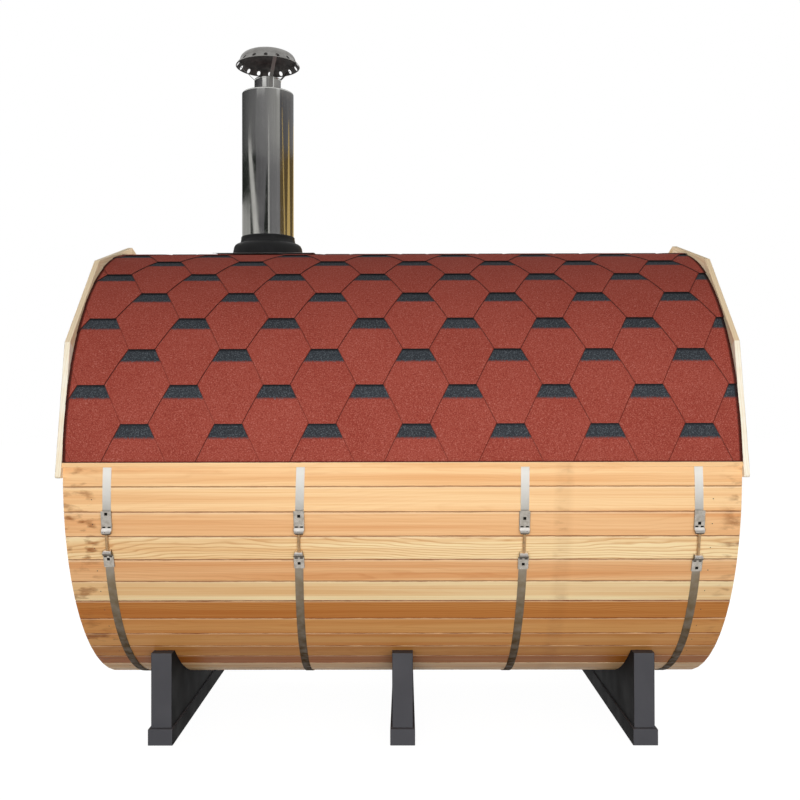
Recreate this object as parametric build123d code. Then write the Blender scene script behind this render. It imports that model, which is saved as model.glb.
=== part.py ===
from build123d import *
import os
from math import asin, copysign, cos, degrees, pi, radians, sin, sqrt, tan

# A barrel sauna: a round cabin of staves lying on three cradles and tied by four steel bands,
# with a shingled roof over its upper half, fascia boards at both ends and a steel flue.
# X runs along the barrel, -Y is the side of the band clamps and Z is up. Lengths are in mm.
# Every shape is drawn about the barrel's axis and lifted to the axis height when it is written.

# Fits shared by all pieces
SEAM = 0.3  # between boards laid side by side
SEAT = 0.3  # between a piece and what carries it
OVERRUN = 60.0  # how far a cut runs past its piece

# Barrel of staves
BARREL_RADIUS = 900.0
BARREL_LENGTH = 2406.0
STAVE_COUNT = 62
STAVE_THICKNESS = 42.0
STAVE_CHAMFER = 3.0
CROZE_DEPTH = 9.0
STAVE_GROUPS = (
    "near_side",
    "near_upper",
    "top",
    "far_upper",
    "far_side",
    "far_lower",
    "bottom",
    "near_lower",
)

# Steel bands and their clamps
BAND_WIDTH = 30.0
BAND_THICKNESS = 1.2
BAND_PLACE_SHARES = (-0.4346, -0.1495, 0.1814, 0.4362)  # of the barrel's length
BAND_LEANS = (1.7, 2.0, 0.3, -1.7)  # degrees from upright
CLAMP_DROP = 135.0  # along the band, from the axis level down to the upper bracket
CLAMP_WIDTH = 42.0
CLAMP_THICKNESS = 3.5
CLAMP_UPPER_PLATE = 58.0
CLAMP_LOWER_PLATE = 46.0
CLAMP_LOOP_RADIUS = 12.0
CLAMP_SLOT = 15.0
CLAMP_HOLE_WIDTH = 9.0
CLAMP_HOLE_SHARE = 0.35  # length of the hole, of the plate's length
BOLT_RADIUS = 5.0
BOLT_HEAD_RADIUS = 8.5
BOLT_HEAD_HEIGHT = 6.0
BOLT_TAIL = 16.0  # from the pin's axis to the head
BOLT_SPAN = 65.0  # between the two loops
BOLT_SPAN_SHARES = (0.85, 0.95, 1.02, 1.17)  # each band is drawn up by its own amount

# Cradles and sills
GROUND_CLEARANCE = 153.0  # under the barrel
CRADLE_SETBACK = 278.0  # from the stave ends to the middle of an outer cradle
CRADLE_THICKNESS = 80.0
CRADLE_WRAP_HEIGHT = 193.0  # from the barrel's lowest line up to the shoulder
CRADLE_SHOULDER_WIDTH = 50.0
SILL_WIDTH = 95.0
SILL_HEIGHT = 62.0
SILL_PROJECTION = 20.0
SILL_ROUND = 4.0

# End walls
WALL_RECESS = 80.0
WALL_THICKNESS = 40.0
BOARD_CHAMFER = 3.0

# Doorway, in the wall at the +X end
DOORWAY_WIDTH = 660.0
DOORWAY_BOARDS = 7  # wall boards that the doorway takes out
DOORWAY_STEP = 97.0  # from the barrel's inside up to the doorway
DOORWAY_DROP = 117.0  # from the barrel's inside down to the doorway
JAMB_WIDTH = 40.0
FRAME_DEPTH = 60.0
LEAF_GAP = 3.0
LEAF_THICKNESS = 32.0
LEAF_BOARDS = 5
LEDGE_WIDTH = 90.0
LEDGE_THICKNESS = 22.0
LEDGE_INSET = 20.0
LEDGE_PLACE_SHARES = (0.12, 0.5, 0.88)  # of the leaf's height
HINGE_PLACE_SHARES = (0.12, 0.88)
HINGE_STRAP = 280.0
HINGE_WIDTH = 36.0
HINGE_THICKNESS = 4.0
HINGE_PLATE = 26.0
HINGE_PLATE_HEIGHT = 110.0
HINGE_KNUCKLE_RADIUS = 7.0
HANDLE_LENGTH = 360.0
HANDLE_WIDTH = 34.0
HANDLE_DEPTH = 26.0
HANDLE_STANDOFF = 36.0
HANDLE_POST = 40.0
HANDLE_INSET = 70.0  # from the leaf's free edge to the handle's middle
HANDLE_ROUND = 8.0

# Roof, eaves and fascia boards
ROOF_THICKNESS = 7.0
EAVE_LEVEL = 40.5  # above the axis
EAVE_BATTEN_HEIGHT = 16.0
EAVE_BATTEN_THICKNESS = 9.0
FASCIA_STAND = 49.0  # of the outer corners beyond the barrel
FASCIA_WIDTH = 90.0
FASCIA_THICKNESS = 21.0
FASCIA_FOOT_STAND = 25.0  # beyond the barrel
FASCIA_FOOT_DROP = 13.5  # below the axis
FASCIA_FOOT_ROUND = 9.0
FASCIA_EDGE_ROUND = 3.0
FASCIA_BOARDS = 6

# Flue
FLUE_SETBACK = 606.0  # from the stave ends at -X
FLUE_RADIUS = 114.0
FLUE_WALL = 1.0
FLUE_RISE = 722.5  # over the roof's crest
FLUE_DROP = 30.0  # below the ceiling
FLUE_CLEARANCE = 4.0
NECK_RADIUS = 57.5
NECK_RISE = 66.0  # over the outer pipe
SPIGOT = 60.0  # of the inner pipe below the outer one
CAP_RADIUS = 124.0
CAP_HEIGHT = 67.0
CAP_CROWN_RADIUS = 320.0
CAP_SHOULDER = 38.0
CAP_THICKNESS = 1.2
BRIM_RADIUS = 142.0
BRIM_RISE = 59.0  # over the neck
BRIM_HEIGHT = 23.0
BRIM_HOLES = 16
BRIM_HOLE_WIDTH = 13.0
BRIM_HOLE_HEIGHT = 17.0
STRAP_WIDTH = 16.0
STRAP_THICKNESS = 2.0
STRAP_FOOT = 45.0
STRAP_ANGLES = (-68.0, 52.0, 172.0)
BOOT_HEIGHT = 83.0
BOOT_COLLAR_HEIGHT = 31.0
BOOT_COLLAR_WALL = 3.0
BOOT_COLLAR_FLARE = 7.0
BOOT_SKIRT_RADIUS = 144.0
BOOT_SKIRT_FLARE = 29.0
BOOT_SHOULDER = 18.0
FLASHING_LENGTH = 430.0
FLASHING_WIDTH = 350.0
FLASHING_THICKNESS = 1.5

# Worked out from the values above
HALF_LENGTH = BARREL_LENGTH / 2
AXIS_HEIGHT = BARREL_RADIUS + GROUND_CLEARANCE
STAVE_HALF_STEP = pi / STAVE_COUNT
STAVE_FACE = BARREL_RADIUS * cos(STAVE_HALF_STEP)  # axis to the flat outer face
STAVE_BACK = STAVE_FACE - STAVE_THICKNESS
WALL_RADIUS = STAVE_BACK + CROZE_DEPTH - SEAT
WALL_OUTSIDE = HALF_LENGTH - WALL_RECESS
WALL_INSIDE = WALL_OUTSIDE - WALL_THICKNESS
BOARD_PITCH = DOORWAY_WIDTH / DOORWAY_BOARDS
DOORWAY_FOOT = STAVE_BACK - DOORWAY_STEP  # below the axis
DOORWAY_HEAD = STAVE_BACK - DOORWAY_DROP  # over the axis
CRADLE_SPACING = HALF_LENGTH - CRADLE_SETBACK
CRADLE_TOP = CRADLE_WRAP_HEIGHT - BARREL_RADIUS
CRADLE_HALF_WIDTH = sqrt(BARREL_RADIUS**2 - CRADLE_TOP**2) + CRADLE_SHOULDER_WIDTH
BAND_INSIDE = BARREL_RADIUS + SEAT
BAND_OUTSIDE = BAND_INSIDE + BAND_THICKNESS
ROOF_INSIDE = BAND_OUTSIDE + SEAT
ROOF_OUTSIDE = ROOF_INSIDE + ROOF_THICKNESS
FLASHING_INSIDE = ROOF_OUTSIDE + SEAT
FLASHING_OUTSIDE = FLASHING_INSIDE + FLASHING_THICKNESS
FASCIA_RADIUS = BARREL_RADIUS + FASCIA_STAND
FLUE_X = FLUE_SETBACK - HALF_LENGTH
FLUE_FOOT = STAVE_BACK - FLUE_DROP
FLUE_TOP = ROOF_OUTSIDE + FLUE_RISE
NECK_TOP = FLUE_TOP + NECK_RISE
BRIM_LEVEL = NECK_TOP + BRIM_RISE
CAP_FLARE_LEVEL = BRIM_LEVEL + BRIM_HEIGHT
CAP_TOP = BRIM_LEVEL + CAP_HEIGHT
BOOT_TOP = ROOF_OUTSIDE + BOOT_HEIGHT


def end_view(place):
    """The upright plane across the barrel at one X: near side to the right, Z up."""
    return Plane((place, 0, 0), x_dir=(0, -1, 0), z_dir=(-1, 0, 0))


def lengthwise(face, start, stop):
    """A face drawn in the end view, drawn out along the barrel from one X to another."""
    return extrude(end_view(stop) * face, amount=stop - start, dir=(-1, 0, 0))


def block(x_span, y_span, z_span):
    """A square-edged block between three pairs of limits."""
    spans = (x_span, y_span, z_span)
    size = [high - low for low, high in spans]
    middle = [(high + low) / 2 for low, high in spans]
    return Pos(*middle) * Box(*size)


def ring_part(inside, outside, start, sweep):
    """A stretch of flat ring about the axis, from an angle through a sweep, in degrees."""
    outer = CenterArc((0, 0), outside, start, sweep)
    inner = CenterArc((0, 0), inside, start, sweep)
    return make_face([outer, inner, Line(outer @ 0, inner @ 0), Line(outer @ 1, inner @ 1)])


def polygon(points):
    return make_face(Polyline(*points, close=True))


def turned(section):
    """A ring turned about the flue's axis from its section, drawn as radius and height."""
    return Pos(X=FLUE_X) * revolve(Plane.XZ * section, axis=Axis.Z)


def flue_hole(radius):
    """The round cut that the flue needs through the staves and all that lies on them."""
    height = FLUE_TOP + OVERRUN
    return Pos(FLUE_X, 0, height / 2) * Cylinder(radius, height)


def stave():
    """One stave at the near side: flat faces, sides on the radius, grooves for the end walls."""
    def half_width(radius):
        return radius * tan(STAVE_HALF_STEP) - SEAM / 2

    shoulder = STAVE_FACE - STAVE_CHAMFER
    upper = [
        (STAVE_BACK, half_width(STAVE_BACK)),
        (shoulder, half_width(shoulder)),
        (STAVE_FACE, half_width(STAVE_FACE) - STAVE_CHAMFER),
    ]
    lower = [(radius, -half) for radius, half in reversed(upper)]
    body = lengthwise(polygon(upper + lower), -HALF_LENGTH, HALF_LENGTH)
    groove_span = (WALL_INSIDE - SEAT, WALL_OUTSIDE + SEAT)
    groove_floor = STAVE_BACK + CROZE_DEPTH
    groove = block(groove_span, (-groove_floor, OVERRUN - STAVE_BACK), (-STAVE_FACE, STAVE_FACE))
    return body - groove - mirror(groove, Plane.YZ)


def stave_group(index):
    """The staves of one eighth of the barrel, counted upwards from the near side."""
    board = stave()
    share = STAVE_COUNT / len(STAVE_GROUPS)
    first = round((index - 0.5) * share)
    last = round((index + 0.5) * share)
    hole = flue_hole(FLUE_RADIUS + FLUE_CLEARANCE)
    solids = []
    for number in range(first, last):
        turn = Rot(X=-degrees(2 * STAVE_HALF_STEP * number))
        solids += (turn * board - hole).solids()
    return solids


def arc_angle(arc):
    """The angle, in degrees, that an arc on the barrel's surface takes."""
    return degrees(arc / BARREL_RADIUS)


def clamp_arcs(share):
    """Arcs below the axis level at which a clamp's two loops have their middles."""
    upper = CLAMP_DROP + CLAMP_UPPER_PLATE + CLAMP_LOOP_RADIUS
    return upper, upper + 2 * CLAMP_LOOP_RADIUS + BOLT_SPAN * share


def loop_middle(arc):
    """Middle of a clamp's loop in the end view."""
    radius = BAND_OUTSIDE + SEAT + CLAMP_LOOP_RADIUS
    angle = -radians(arc_angle(arc))
    return Vector(radius * cos(angle), radius * sin(angle))


def band(place, lean, share):
    """One steel band, open between its clamp's two loops and leaning a little along the barrel."""
    upper, lower = clamp_arcs(share)
    start = -arc_angle(upper - CLAMP_LOOP_RADIUS)
    gap = arc_angle(lower - upper + 2 * CLAMP_LOOP_RADIUS)
    hoop = ring_part(BAND_INSIDE, BAND_OUTSIDE, start, 360 - gap)
    reach = BAND_OUTSIDE * tan(radians(abs(lean))) + BAND_WIDTH
    size = 2 * BAND_OUTSIDE + OVERRUN
    slab = Pos(X=place) * Rot(Y=lean) * Box(BAND_WIDTH, size, size)
    return lengthwise(hoop, place - reach, place + reach) & slab


def band_place(place, lean, arc):
    """X of a leaning band at an arc below the axis level."""
    return place - BARREL_RADIUS * sin(arc / BARREL_RADIUS) * tan(radians(lean))


def touching(place, arc):
    """The plane that touches the bands' outside at an X and an arc below the axis level."""
    angle = radians(arc_angle(arc))
    outward = Vector(0, -cos(angle), -sin(angle))
    return Plane(Vector(place, 0, 0) + outward * BAND_OUTSIDE, x_dir=(1, 0, 0), z_dir=outward)


def bracket(place, arc, plate):
    """A holed plate on the band, rolled into a slotted loop; it runs up, or down if negative."""
    start = place - CLAMP_WIDTH / 2
    stop = place + CLAMP_WIDTH / 2
    inside = BAND_OUTSIDE + SEAT
    middle = loop_middle(arc)
    reach = arc_angle(plate)
    leaf = ring_part(inside, inside + CLAMP_THICKNESS, -arc_angle(arc), reach)
    loop = Circle(CLAMP_LOOP_RADIUS) - Circle(CLAMP_LOOP_RADIUS - CLAMP_THICKNESS)
    body = lengthwise(leaf, start, stop) + lengthwise(Pos(middle.X, middle.Y) * loop, start, stop)
    depth = 2 * CLAMP_LOOP_RADIUS
    slot_middle = Rot(Z=-arc_angle(arc)) * Pos(X=inside + CLAMP_THICKNESS + depth / 2)
    slot = slot_middle * Rectangle(depth, depth + SEAT)
    body -= lengthwise(slot, place - CLAMP_SLOT / 2, place + CLAMP_SLOT / 2)
    hole_arc = arc - (plate + copysign(CLAMP_LOOP_RADIUS, plate)) / 2
    hole = SlotOverall(CLAMP_HOLE_SHARE * abs(plate), CLAMP_HOLE_WIDTH, rotation=90)
    return body - extrude(touching(place, hole_arc) * hole, amount=CLAMP_LOOP_RADIUS)


def tension_bolt(upper, foot):
    """A bolt across the middles of the two loops, with a head at each end."""
    run = upper - foot
    along = Plane(foot, z_dir=run)
    shank = extrude(along * Circle(BOLT_RADIUS), amount=run.length + BOLT_TAIL)
    shank += extrude(along * Circle(BOLT_RADIUS), amount=-BOLT_TAIL)
    head = along * RegularPolygon(BOLT_HEAD_RADIUS, 6)
    low_head = extrude(head, amount=-BOLT_HEAD_HEIGHT)
    high_head = extrude(head, amount=BOLT_HEAD_HEIGHT)
    step = run.normalized()
    return shank + Pos(step * -BOLT_TAIL) * low_head + Pos(step * (run.length + BOLT_TAIL)) * high_head


def clamp_pin(place, arc, upper, lower):
    """The round bar that a loop is rolled about, bored for the bolt between the loops' middles."""
    middle = loop_middle(arc)
    round_bar = Pos(middle.X, middle.Y) * Circle(CLAMP_LOOP_RADIUS - CLAMP_THICKNESS - SEAT)
    bar = lengthwise(round_bar, place - CLAMP_WIDTH / 2, place + CLAMP_WIDTH / 2)
    bore = Plane(lower, z_dir=upper - lower) * Circle(BOLT_RADIUS + SEAT)
    return bar - extrude(bore, amount=(upper - lower).length + OVERRUN, both=True)


def cradle(place):
    """A board panel hollowed to the barrel, with a flat shoulder at each side."""
    foot = SILL_HEIGHT + SEAT - AXIS_HEIGHT
    height = CRADLE_TOP - foot
    panel = Pos(Y=foot + height / 2) * Rectangle(2 * CRADLE_HALF_WIDTH, height)
    panel -= Circle(BARREL_RADIUS + SEAT)
    body = lengthwise(panel, place - CRADLE_THICKNESS / 2, place + CRADLE_THICKNESS / 2)
    return fillet(body.edges().filter_by(Axis.Z), SILL_ROUND)


def sill(place):
    x_span = (place - SILL_WIDTH / 2, place + SILL_WIDTH / 2)
    reach = CRADLE_HALF_WIDTH + SILL_PROJECTION
    beam = block(x_span, (-reach, reach), (-AXIS_HEIGHT, SILL_HEIGHT - AXIS_HEIGHT))
    return fillet(beam.edges().filter_by(Axis.Z) + beam.edges().group_by(Axis.Z)[-1], SILL_ROUND)


def wall_boards(first, last, low, high):
    """Upright boards of an end wall cut to the barrel's round, between two heights."""
    boards = []
    for number in range(first, last + 1):
        left = (number - 0.5) * BOARD_PITCH + SEAM / 2
        right = (number + 0.5) * BOARD_PITCH - SEAM / 2
        strip = polygon([(left, low), (right, low), (right, high), (left, high)])
        board = lengthwise(strip & Circle(WALL_RADIUS), WALL_INSIDE, WALL_OUTSIDE)
        boards.append(chamfer(board.edges().filter_by(Axis.Z), BOARD_CHAMFER))
    return boards


def outermost_board():
    return round(WALL_RADIUS / BOARD_PITCH)


def rear_wall():
    last = outermost_board()
    boards = wall_boards(-last, last, -WALL_RADIUS, WALL_RADIUS)
    return [mirror(board, Plane.YZ) for board in boards]


def door_wall():
    """The door end's boards: both sides of the doorway, over it and under it."""
    last = outermost_board()
    jamb = DOORWAY_BOARDS // 2
    return {
        "door_wall_near": wall_boards(jamb + 1, last, -WALL_RADIUS, WALL_RADIUS),
        "door_wall_far": wall_boards(-last, -jamb - 1, -WALL_RADIUS, WALL_RADIUS),
        "door_wall_head": wall_boards(-jamb, jamb, DOORWAY_HEAD, WALL_RADIUS),
        "door_wall_foot": wall_boards(-jamb, jamb, -WALL_RADIUS, -DOORWAY_FOOT),
    }


def frame_span():
    middle = (WALL_INSIDE + WALL_OUTSIDE) / 2
    return middle - FRAME_DEPTH / 2, middle + FRAME_DEPTH / 2


def door_frame():
    """Two jambs, with a head and a threshold between them."""
    outer = DOORWAY_WIDTH / 2 - SEAT
    inner = outer - JAMB_WIDTH
    low = SEAT - DOORWAY_FOOT
    high = DOORWAY_HEAD - SEAT
    across = (SEAM - inner, inner - SEAM)
    return [
        block(frame_span(), (-outer, -inner), (low, high)),
        block(frame_span(), (inner, outer), (low, high)),
        block(frame_span(), across, (high - JAMB_WIDTH, high)),
        block(frame_span(), across, (low, low + JAMB_WIDTH)),
    ]


def leaf_limits():
    """Half width, foot and head of the door leaf."""
    half = DOORWAY_WIDTH / 2 - SEAT - JAMB_WIDTH - LEAF_GAP
    foot = SEAT - DOORWAY_FOOT + JAMB_WIDTH + LEAF_GAP
    head = DOORWAY_HEAD - SEAT - JAMB_WIDTH - LEAF_GAP
    return half, foot, head


def leaf_span():
    outside = frame_span()[1]
    return outside - LEAF_THICKNESS, outside


def door_leaf():
    half, foot, head = leaf_limits()
    pitch = 2 * half / LEAF_BOARDS
    boards = []
    for number in range(LEAF_BOARDS):
        left = -half + number * pitch
        board = block(leaf_span(), (left + SEAM / 2, left + pitch - SEAM / 2), (foot, head))
        boards.append(chamfer(board.edges().filter_by(Axis.Z), BOARD_CHAMFER))
    return boards


def leaf_height(share):
    """A height on the leaf, as a share of it from its foot."""
    half, foot, head = leaf_limits()
    return foot + share * (head - foot)


def door_ledges():
    """Boards across the inside of the leaf that hold it together."""
    half, foot, head = leaf_limits()
    inside = leaf_span()[0] - SEAT
    across = (LEDGE_INSET - half, half - LEDGE_INSET)
    ledges = []
    for share in LEDGE_PLACE_SHARES:
        middle = leaf_height(share)
        upright = (middle - LEDGE_WIDTH / 2, middle + LEDGE_WIDTH / 2)
        ledges.append(block((inside - LEDGE_THICKNESS, inside), across, upright))
    return ledges


def door_hinges():
    """Strap hinges on the far side: a strap on the leaf, a knuckle and a plate on the jamb."""
    half, foot, head = leaf_limits()
    face = leaf_span()[1] + SEAT
    sheet = (face, face + HINGE_THICKNESS)
    pin = half + LEAF_GAP / 2
    hinges = []
    for share in HINGE_PLACE_SHARES:
        middle = leaf_height(share)
        strap_rise = (middle - HINGE_WIDTH / 2, middle + HINGE_WIDTH / 2)
        plate_rise = (middle - HINGE_PLATE_HEIGHT / 2, middle + HINGE_PLATE_HEIGHT / 2)
        strap = block(sheet, (pin - HINGE_STRAP, pin), strap_rise)
        plate = block(sheet, (pin, pin + HINGE_PLATE), plate_rise)
        knuckle = Cylinder(HINGE_KNUCKLE_RADIUS, HINGE_PLATE_HEIGHT)
        knuckle = Pos(face + HINGE_KNUCKLE_RADIUS, pin, middle) * knuckle
        hinges.append(strap + plate + knuckle)
    return hinges


def door_handle():
    """A wooden pull: an upright bar on two posts."""
    half, foot, head = leaf_limits()
    face = leaf_span()[1] + SEAT
    place = HANDLE_INSET - half
    middle = (foot + head) / 2
    end = HANDLE_LENGTH / 2
    width = (place - HANDLE_WIDTH / 2, place + HANDLE_WIDTH / 2)
    bar_face = face + HANDLE_STANDOFF
    bar = block((bar_face, bar_face + HANDLE_DEPTH), width, (middle - end, middle + end))
    bar = fillet(bar.edges().group_by(Axis.X)[-1], HANDLE_ROUND)
    low = block((face, bar_face), width, (middle - end, middle - end + HANDLE_POST))
    high = block((face, bar_face), width, (middle + end - HANDLE_POST, middle + end))
    return bar + low + high


def eave_batten():
    """The strip under the near edge of the shingles, lying on the bands."""
    inside = BAND_OUTSIDE + SEAT
    x_span = (-HALF_LENGTH, HALF_LENGTH)
    y_span = (-inside - EAVE_BATTEN_THICKNESS, -inside)
    return block(x_span, y_span, (EAVE_LEVEL - EAVE_BATTEN_HEIGHT, EAVE_LEVEL))


def roof_half():
    """The near half of the shingle cover, from the eave batten to the ridge."""
    start = degrees(asin((EAVE_LEVEL + SEAT) / ROOF_INSIDE))
    stop = 90 - degrees(SEAM / 2 / ROOF_INSIDE)
    cover = lengthwise(ring_part(ROOF_INSIDE, ROOF_OUTSIDE, start, stop - start), -HALF_LENGTH, HALF_LENGTH)
    return cover - flue_hole(FLUE_RADIUS + FLUE_CLEARANCE)


def fascia_boards():
    """The near half of the boards over the +X end, mitred on the barrel's radius."""
    sweep = 180 / FASCIA_BOARDS
    far = 2 * FASCIA_RADIUS
    foot = Vector(BARREL_RADIUS + FASCIA_FOOT_STAND, -FASCIA_FOOT_DROP)

    def on_radius(radius, number):
        angle = radians(sweep * number)
        return Vector(radius * cos(angle), radius * sin(angle))

    solids = []
    for number in range(FASCIA_BOARDS // 2):
        start = on_radius(FASCIA_RADIUS, number) if number else foot
        stop = on_radius(FASCIA_RADIUS, number + 1)
        along = (stop - start).normalized()
        inward = Vector(-along.Y, along.X) * FASCIA_WIDTH
        low = start - along * FASCIA_WIDTH
        high = stop + along * FASCIA_WIDTH
        strip = polygon([low, high, high + inward, low + inward])
        floor = Vector(0, -FASCIA_FOOT_DROP - SEAM / 2)
        sector = [Vector(), on_radius(far, number), on_radius(far, number + 1)]
        lowest = [Vector(), floor, floor + Vector(far, 0), on_radius(far, number + 1)]
        field = offset(polygon(sector if number else lowest), -SEAM / 2, kind=Kind.INTERSECTION)
        board = strip & field
        if not number:
            board = fillet(board.vertices().sort_by_distance((foot.X, foot.Y))[0], FASCIA_FOOT_ROUND)
        back = HALF_LENGTH + SEAT
        solid = lengthwise(board, back, back + FASCIA_THICKNESS)
        long_edges = solid.edges().group_by(Axis.X)[-1].filter_by(GeomType.LINE).sort_by(SortBy.LENGTH)[-2:]
        solids.append(fillet(long_edges, FASCIA_EDGE_ROUND))
    return solids


def fascia():
    near = fascia_boards()
    return near + [mirror(board, Plane.XZ) for board in near]


def outer_pipe():
    """The insulated pipe's outer wall, closed at the top round the inner pipe."""
    neck = NECK_RADIUS + SEAT
    under = FLUE_TOP - FLUE_WALL
    bore = FLUE_RADIUS - FLUE_WALL
    outline = [(FLUE_RADIUS, FLUE_FOOT), (FLUE_RADIUS, FLUE_TOP), (neck, FLUE_TOP)]
    return turned(polygon(outline + [(neck, under), (bore, under), (bore, FLUE_FOOT)]))


def inner_pipe():
    bore = NECK_RADIUS - FLUE_WALL
    foot = FLUE_FOOT - SPIGOT
    return turned(polygon([(NECK_RADIUS, foot), (NECK_RADIUS, NECK_TOP), (bore, NECK_TOP), (bore, foot)]))


def cap_line(inset):
    """The cap's line, set in from its outside: from the apex by the crown and shoulder to the rim."""
    middle = CAP_TOP - CAP_CROWN_RADIUS
    radius = CAP_CROWN_RADIUS - inset
    tilt = asin((CAP_RADIUS - CAP_SHOULDER) / CAP_CROWN_RADIUS)
    turns = (0, tilt / 2, tilt)
    crown = ThreePointArc(*[(radius * sin(turn), middle + radius * cos(turn)) for turn in turns])
    shoulder = TangentArc(crown @ 1, (CAP_RADIUS - inset, CAP_FLARE_LEVEL), tangent=crown % 1)
    brim = Line(shoulder @ 1, (BRIM_RADIUS - inset, BRIM_LEVEL))
    return [crown, shoulder, brim]


def flue_cap():
    """A pressed sheet dome with a flared brim."""
    line = cap_line(0)
    floor = Polyline(line[-1] @ 1, (0, BRIM_LEVEL), line[0] @ 0)
    outside = revolve(Plane.XZ * make_face(line + [floor]), axis=Axis.Z)
    return Pos(X=FLUE_X) * (outside - cap_room(CAP_THICKNESS) - brim_holes())


def brim_holes():
    """The ring of slots through the brim."""
    slot = SlotOverall(BRIM_HOLE_HEIGHT, BRIM_HOLE_WIDTH, rotation=90)
    level = (BRIM_LEVEL + CAP_FLARE_LEVEL) / 2
    cutter = extrude(Plane.YZ * Pos(Y=level) * slot, amount=BRIM_RADIUS + OVERRUN)
    return [Rot(Z=360 * number / BRIM_HOLES) * cutter for number in range(BRIM_HOLES)]


def cap_room(inset):
    """The space under the cap, set in from its outside, down past the neck."""
    line = cap_line(inset)
    rim = line[-1] @ 1
    foot = NECK_TOP - STRAP_FOOT - OVERRUN
    floor = Polyline(rim, (rim.X, foot), (0, foot), line[0] @ 0)
    return revolve(Plane.XZ * make_face(line + [floor]), axis=Axis.Z)


def cap_supports():
    """Flat straps from the neck out to the brim."""
    inside = NECK_RADIUS + SEAT
    outside = inside + STRAP_THICKNESS
    foot = NECK_TOP - STRAP_FOOT
    reach = BRIM_RADIUS - NECK_RADIUS
    turn = STRAP_THICKNESS * tan(radians(45) / 2)
    inner = [(inside, foot), (inside, NECK_TOP), (inside + reach, NECK_TOP + reach)]
    outer = [
        (outside + reach, NECK_TOP + reach - turn),
        (outside, NECK_TOP - turn),
        (outside, foot),
    ]
    strap = extrude(Plane.XZ * polygon(inner + outer), amount=STRAP_WIDTH / 2, both=True)
    strap = strap & cap_room(CAP_THICKNESS + SEAT)
    return [Pos(X=FLUE_X) * Rot(Z=angle) * strap for angle in STRAP_ANGLES]


def flue_boot():
    """The rubber boot: a collar on the pipe and a skirt that sits on the curved roof."""
    bore = FLUE_RADIUS + SEAT
    collar = bore + BOOT_COLLAR_WALL
    shoulder = BOOT_TOP - BOOT_COLLAR_HEIGHT
    outline = [
        (bore, BOOT_TOP),
        (collar, BOOT_TOP),
        (collar + BOOT_COLLAR_FLARE, shoulder),
        (BOOT_SKIRT_RADIUS, shoulder),
        (BOOT_SKIRT_RADIUS + BOOT_SKIRT_FLARE, FLASHING_OUTSIDE - OVERRUN),
        (bore, FLASHING_OUTSIDE - OVERRUN),
    ]
    section = polygon(outline)
    section = fillet(section.vertices().sort_by_distance((BOOT_SKIRT_RADIUS, shoulder))[0], BOOT_SHOULDER)
    roof = Rot(Y=90) * Cylinder(FLASHING_OUTSIDE + SEAT, BARREL_LENGTH)
    return turned(section) - roof


def flue_flashing():
    """A thin sheet bent over the ridge under the boot, with a hole for the pipe."""
    sweep = degrees(FLASHING_WIDTH / FLASHING_OUTSIDE)
    sheet = ring_part(FLASHING_INSIDE, FLASHING_OUTSIDE, 90 - sweep / 2, sweep)
    half = FLASHING_LENGTH / 2
    return lengthwise(sheet, FLUE_X - half, FLUE_X + half) - flue_hole(FLUE_RADIUS + FLUE_CLEARANCE)


def assembly():
    """Every node of the sauna by name, with its solids about the barrel's axis."""
    nodes = {}
    for index, group in enumerate(STAVE_GROUPS):
        nodes["staves_" + group] = stave_group(index)
    bolts = []
    bands = zip(BAND_PLACE_SHARES, BAND_LEANS, BOLT_SPAN_SHARES)
    for number, (share, lean, draw) in enumerate(bands, start=1):
        middle = share * BARREL_LENGTH
        arcs = clamp_arcs(draw)
        places = [band_place(middle, lean, arc) for arc in arcs]
        ends = [end_view(place).from_local_coords(loop_middle(arc)) for place, arc in zip(places, arcs)]
        nodes[f"band_{number}"] = [band(middle, lean, draw)]
        nodes[f"band_clamp_{number}"] = [
            bracket(places[0], arcs[0], CLAMP_LOOP_RADIUS + CLAMP_UPPER_PLATE),
            bracket(places[1], arcs[1], -CLAMP_LOOP_RADIUS - CLAMP_LOWER_PLATE),
        ]
        bolts.append(tension_bolt(*ends))
        bolts += [clamp_pin(place, arc, *ends) for place, arc in zip(places, arcs)]
    nodes["tension_bolts"] = bolts
    for name, side in (("left", -1), ("middle", 0), ("right", 1)):
        nodes["cradle_" + name] = [cradle(side * CRADLE_SPACING)]
        nodes["sill_" + name] = [sill(side * CRADLE_SPACING)]
    nodes["rear_wall"] = rear_wall()
    nodes.update(door_wall())
    nodes["door_frame"] = door_frame()
    nodes["door_leaf"] = door_leaf()
    nodes["door_ledges"] = door_ledges()
    nodes["door_hinges"] = door_hinges()
    nodes["door_handle"] = [door_handle()]
    nodes["eave_batten_near"] = [eave_batten()]
    nodes["eave_batten_far"] = [mirror(eave_batten(), Plane.XZ)]
    nodes["roof_shingles_near"] = [roof_half()]
    nodes["roof_shingles_far"] = [mirror(roof_half(), Plane.XZ)]
    nodes["fascia_right_end"] = fascia()
    nodes["fascia_left_end"] = [mirror(board, Plane.YZ) for board in fascia()]
    nodes["flue_outer_pipe"] = [outer_pipe()]
    nodes["flue_inner_pipe"] = [inner_pipe()]
    nodes["flue_cap"] = [flue_cap()]
    nodes["cap_supports"] = cap_supports()
    nodes["flue_boot"] = [flue_boot()]
    nodes["flue_flashing"] = [flue_flashing()]
    return nodes


os.makedirs("parts", exist_ok=True)
lift = Pos(Z=AXIS_HEIGHT)
for name, pieces in assembly().items():
    solids = [lift * solid for piece in pieces for solid in piece.solids()]
    export_step(Compound(children=solids, label=name), f"parts/{name}.step")
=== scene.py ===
import math
from functools import partial

import bmesh
import bpy
from mathutils import Matrix, Vector


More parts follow.
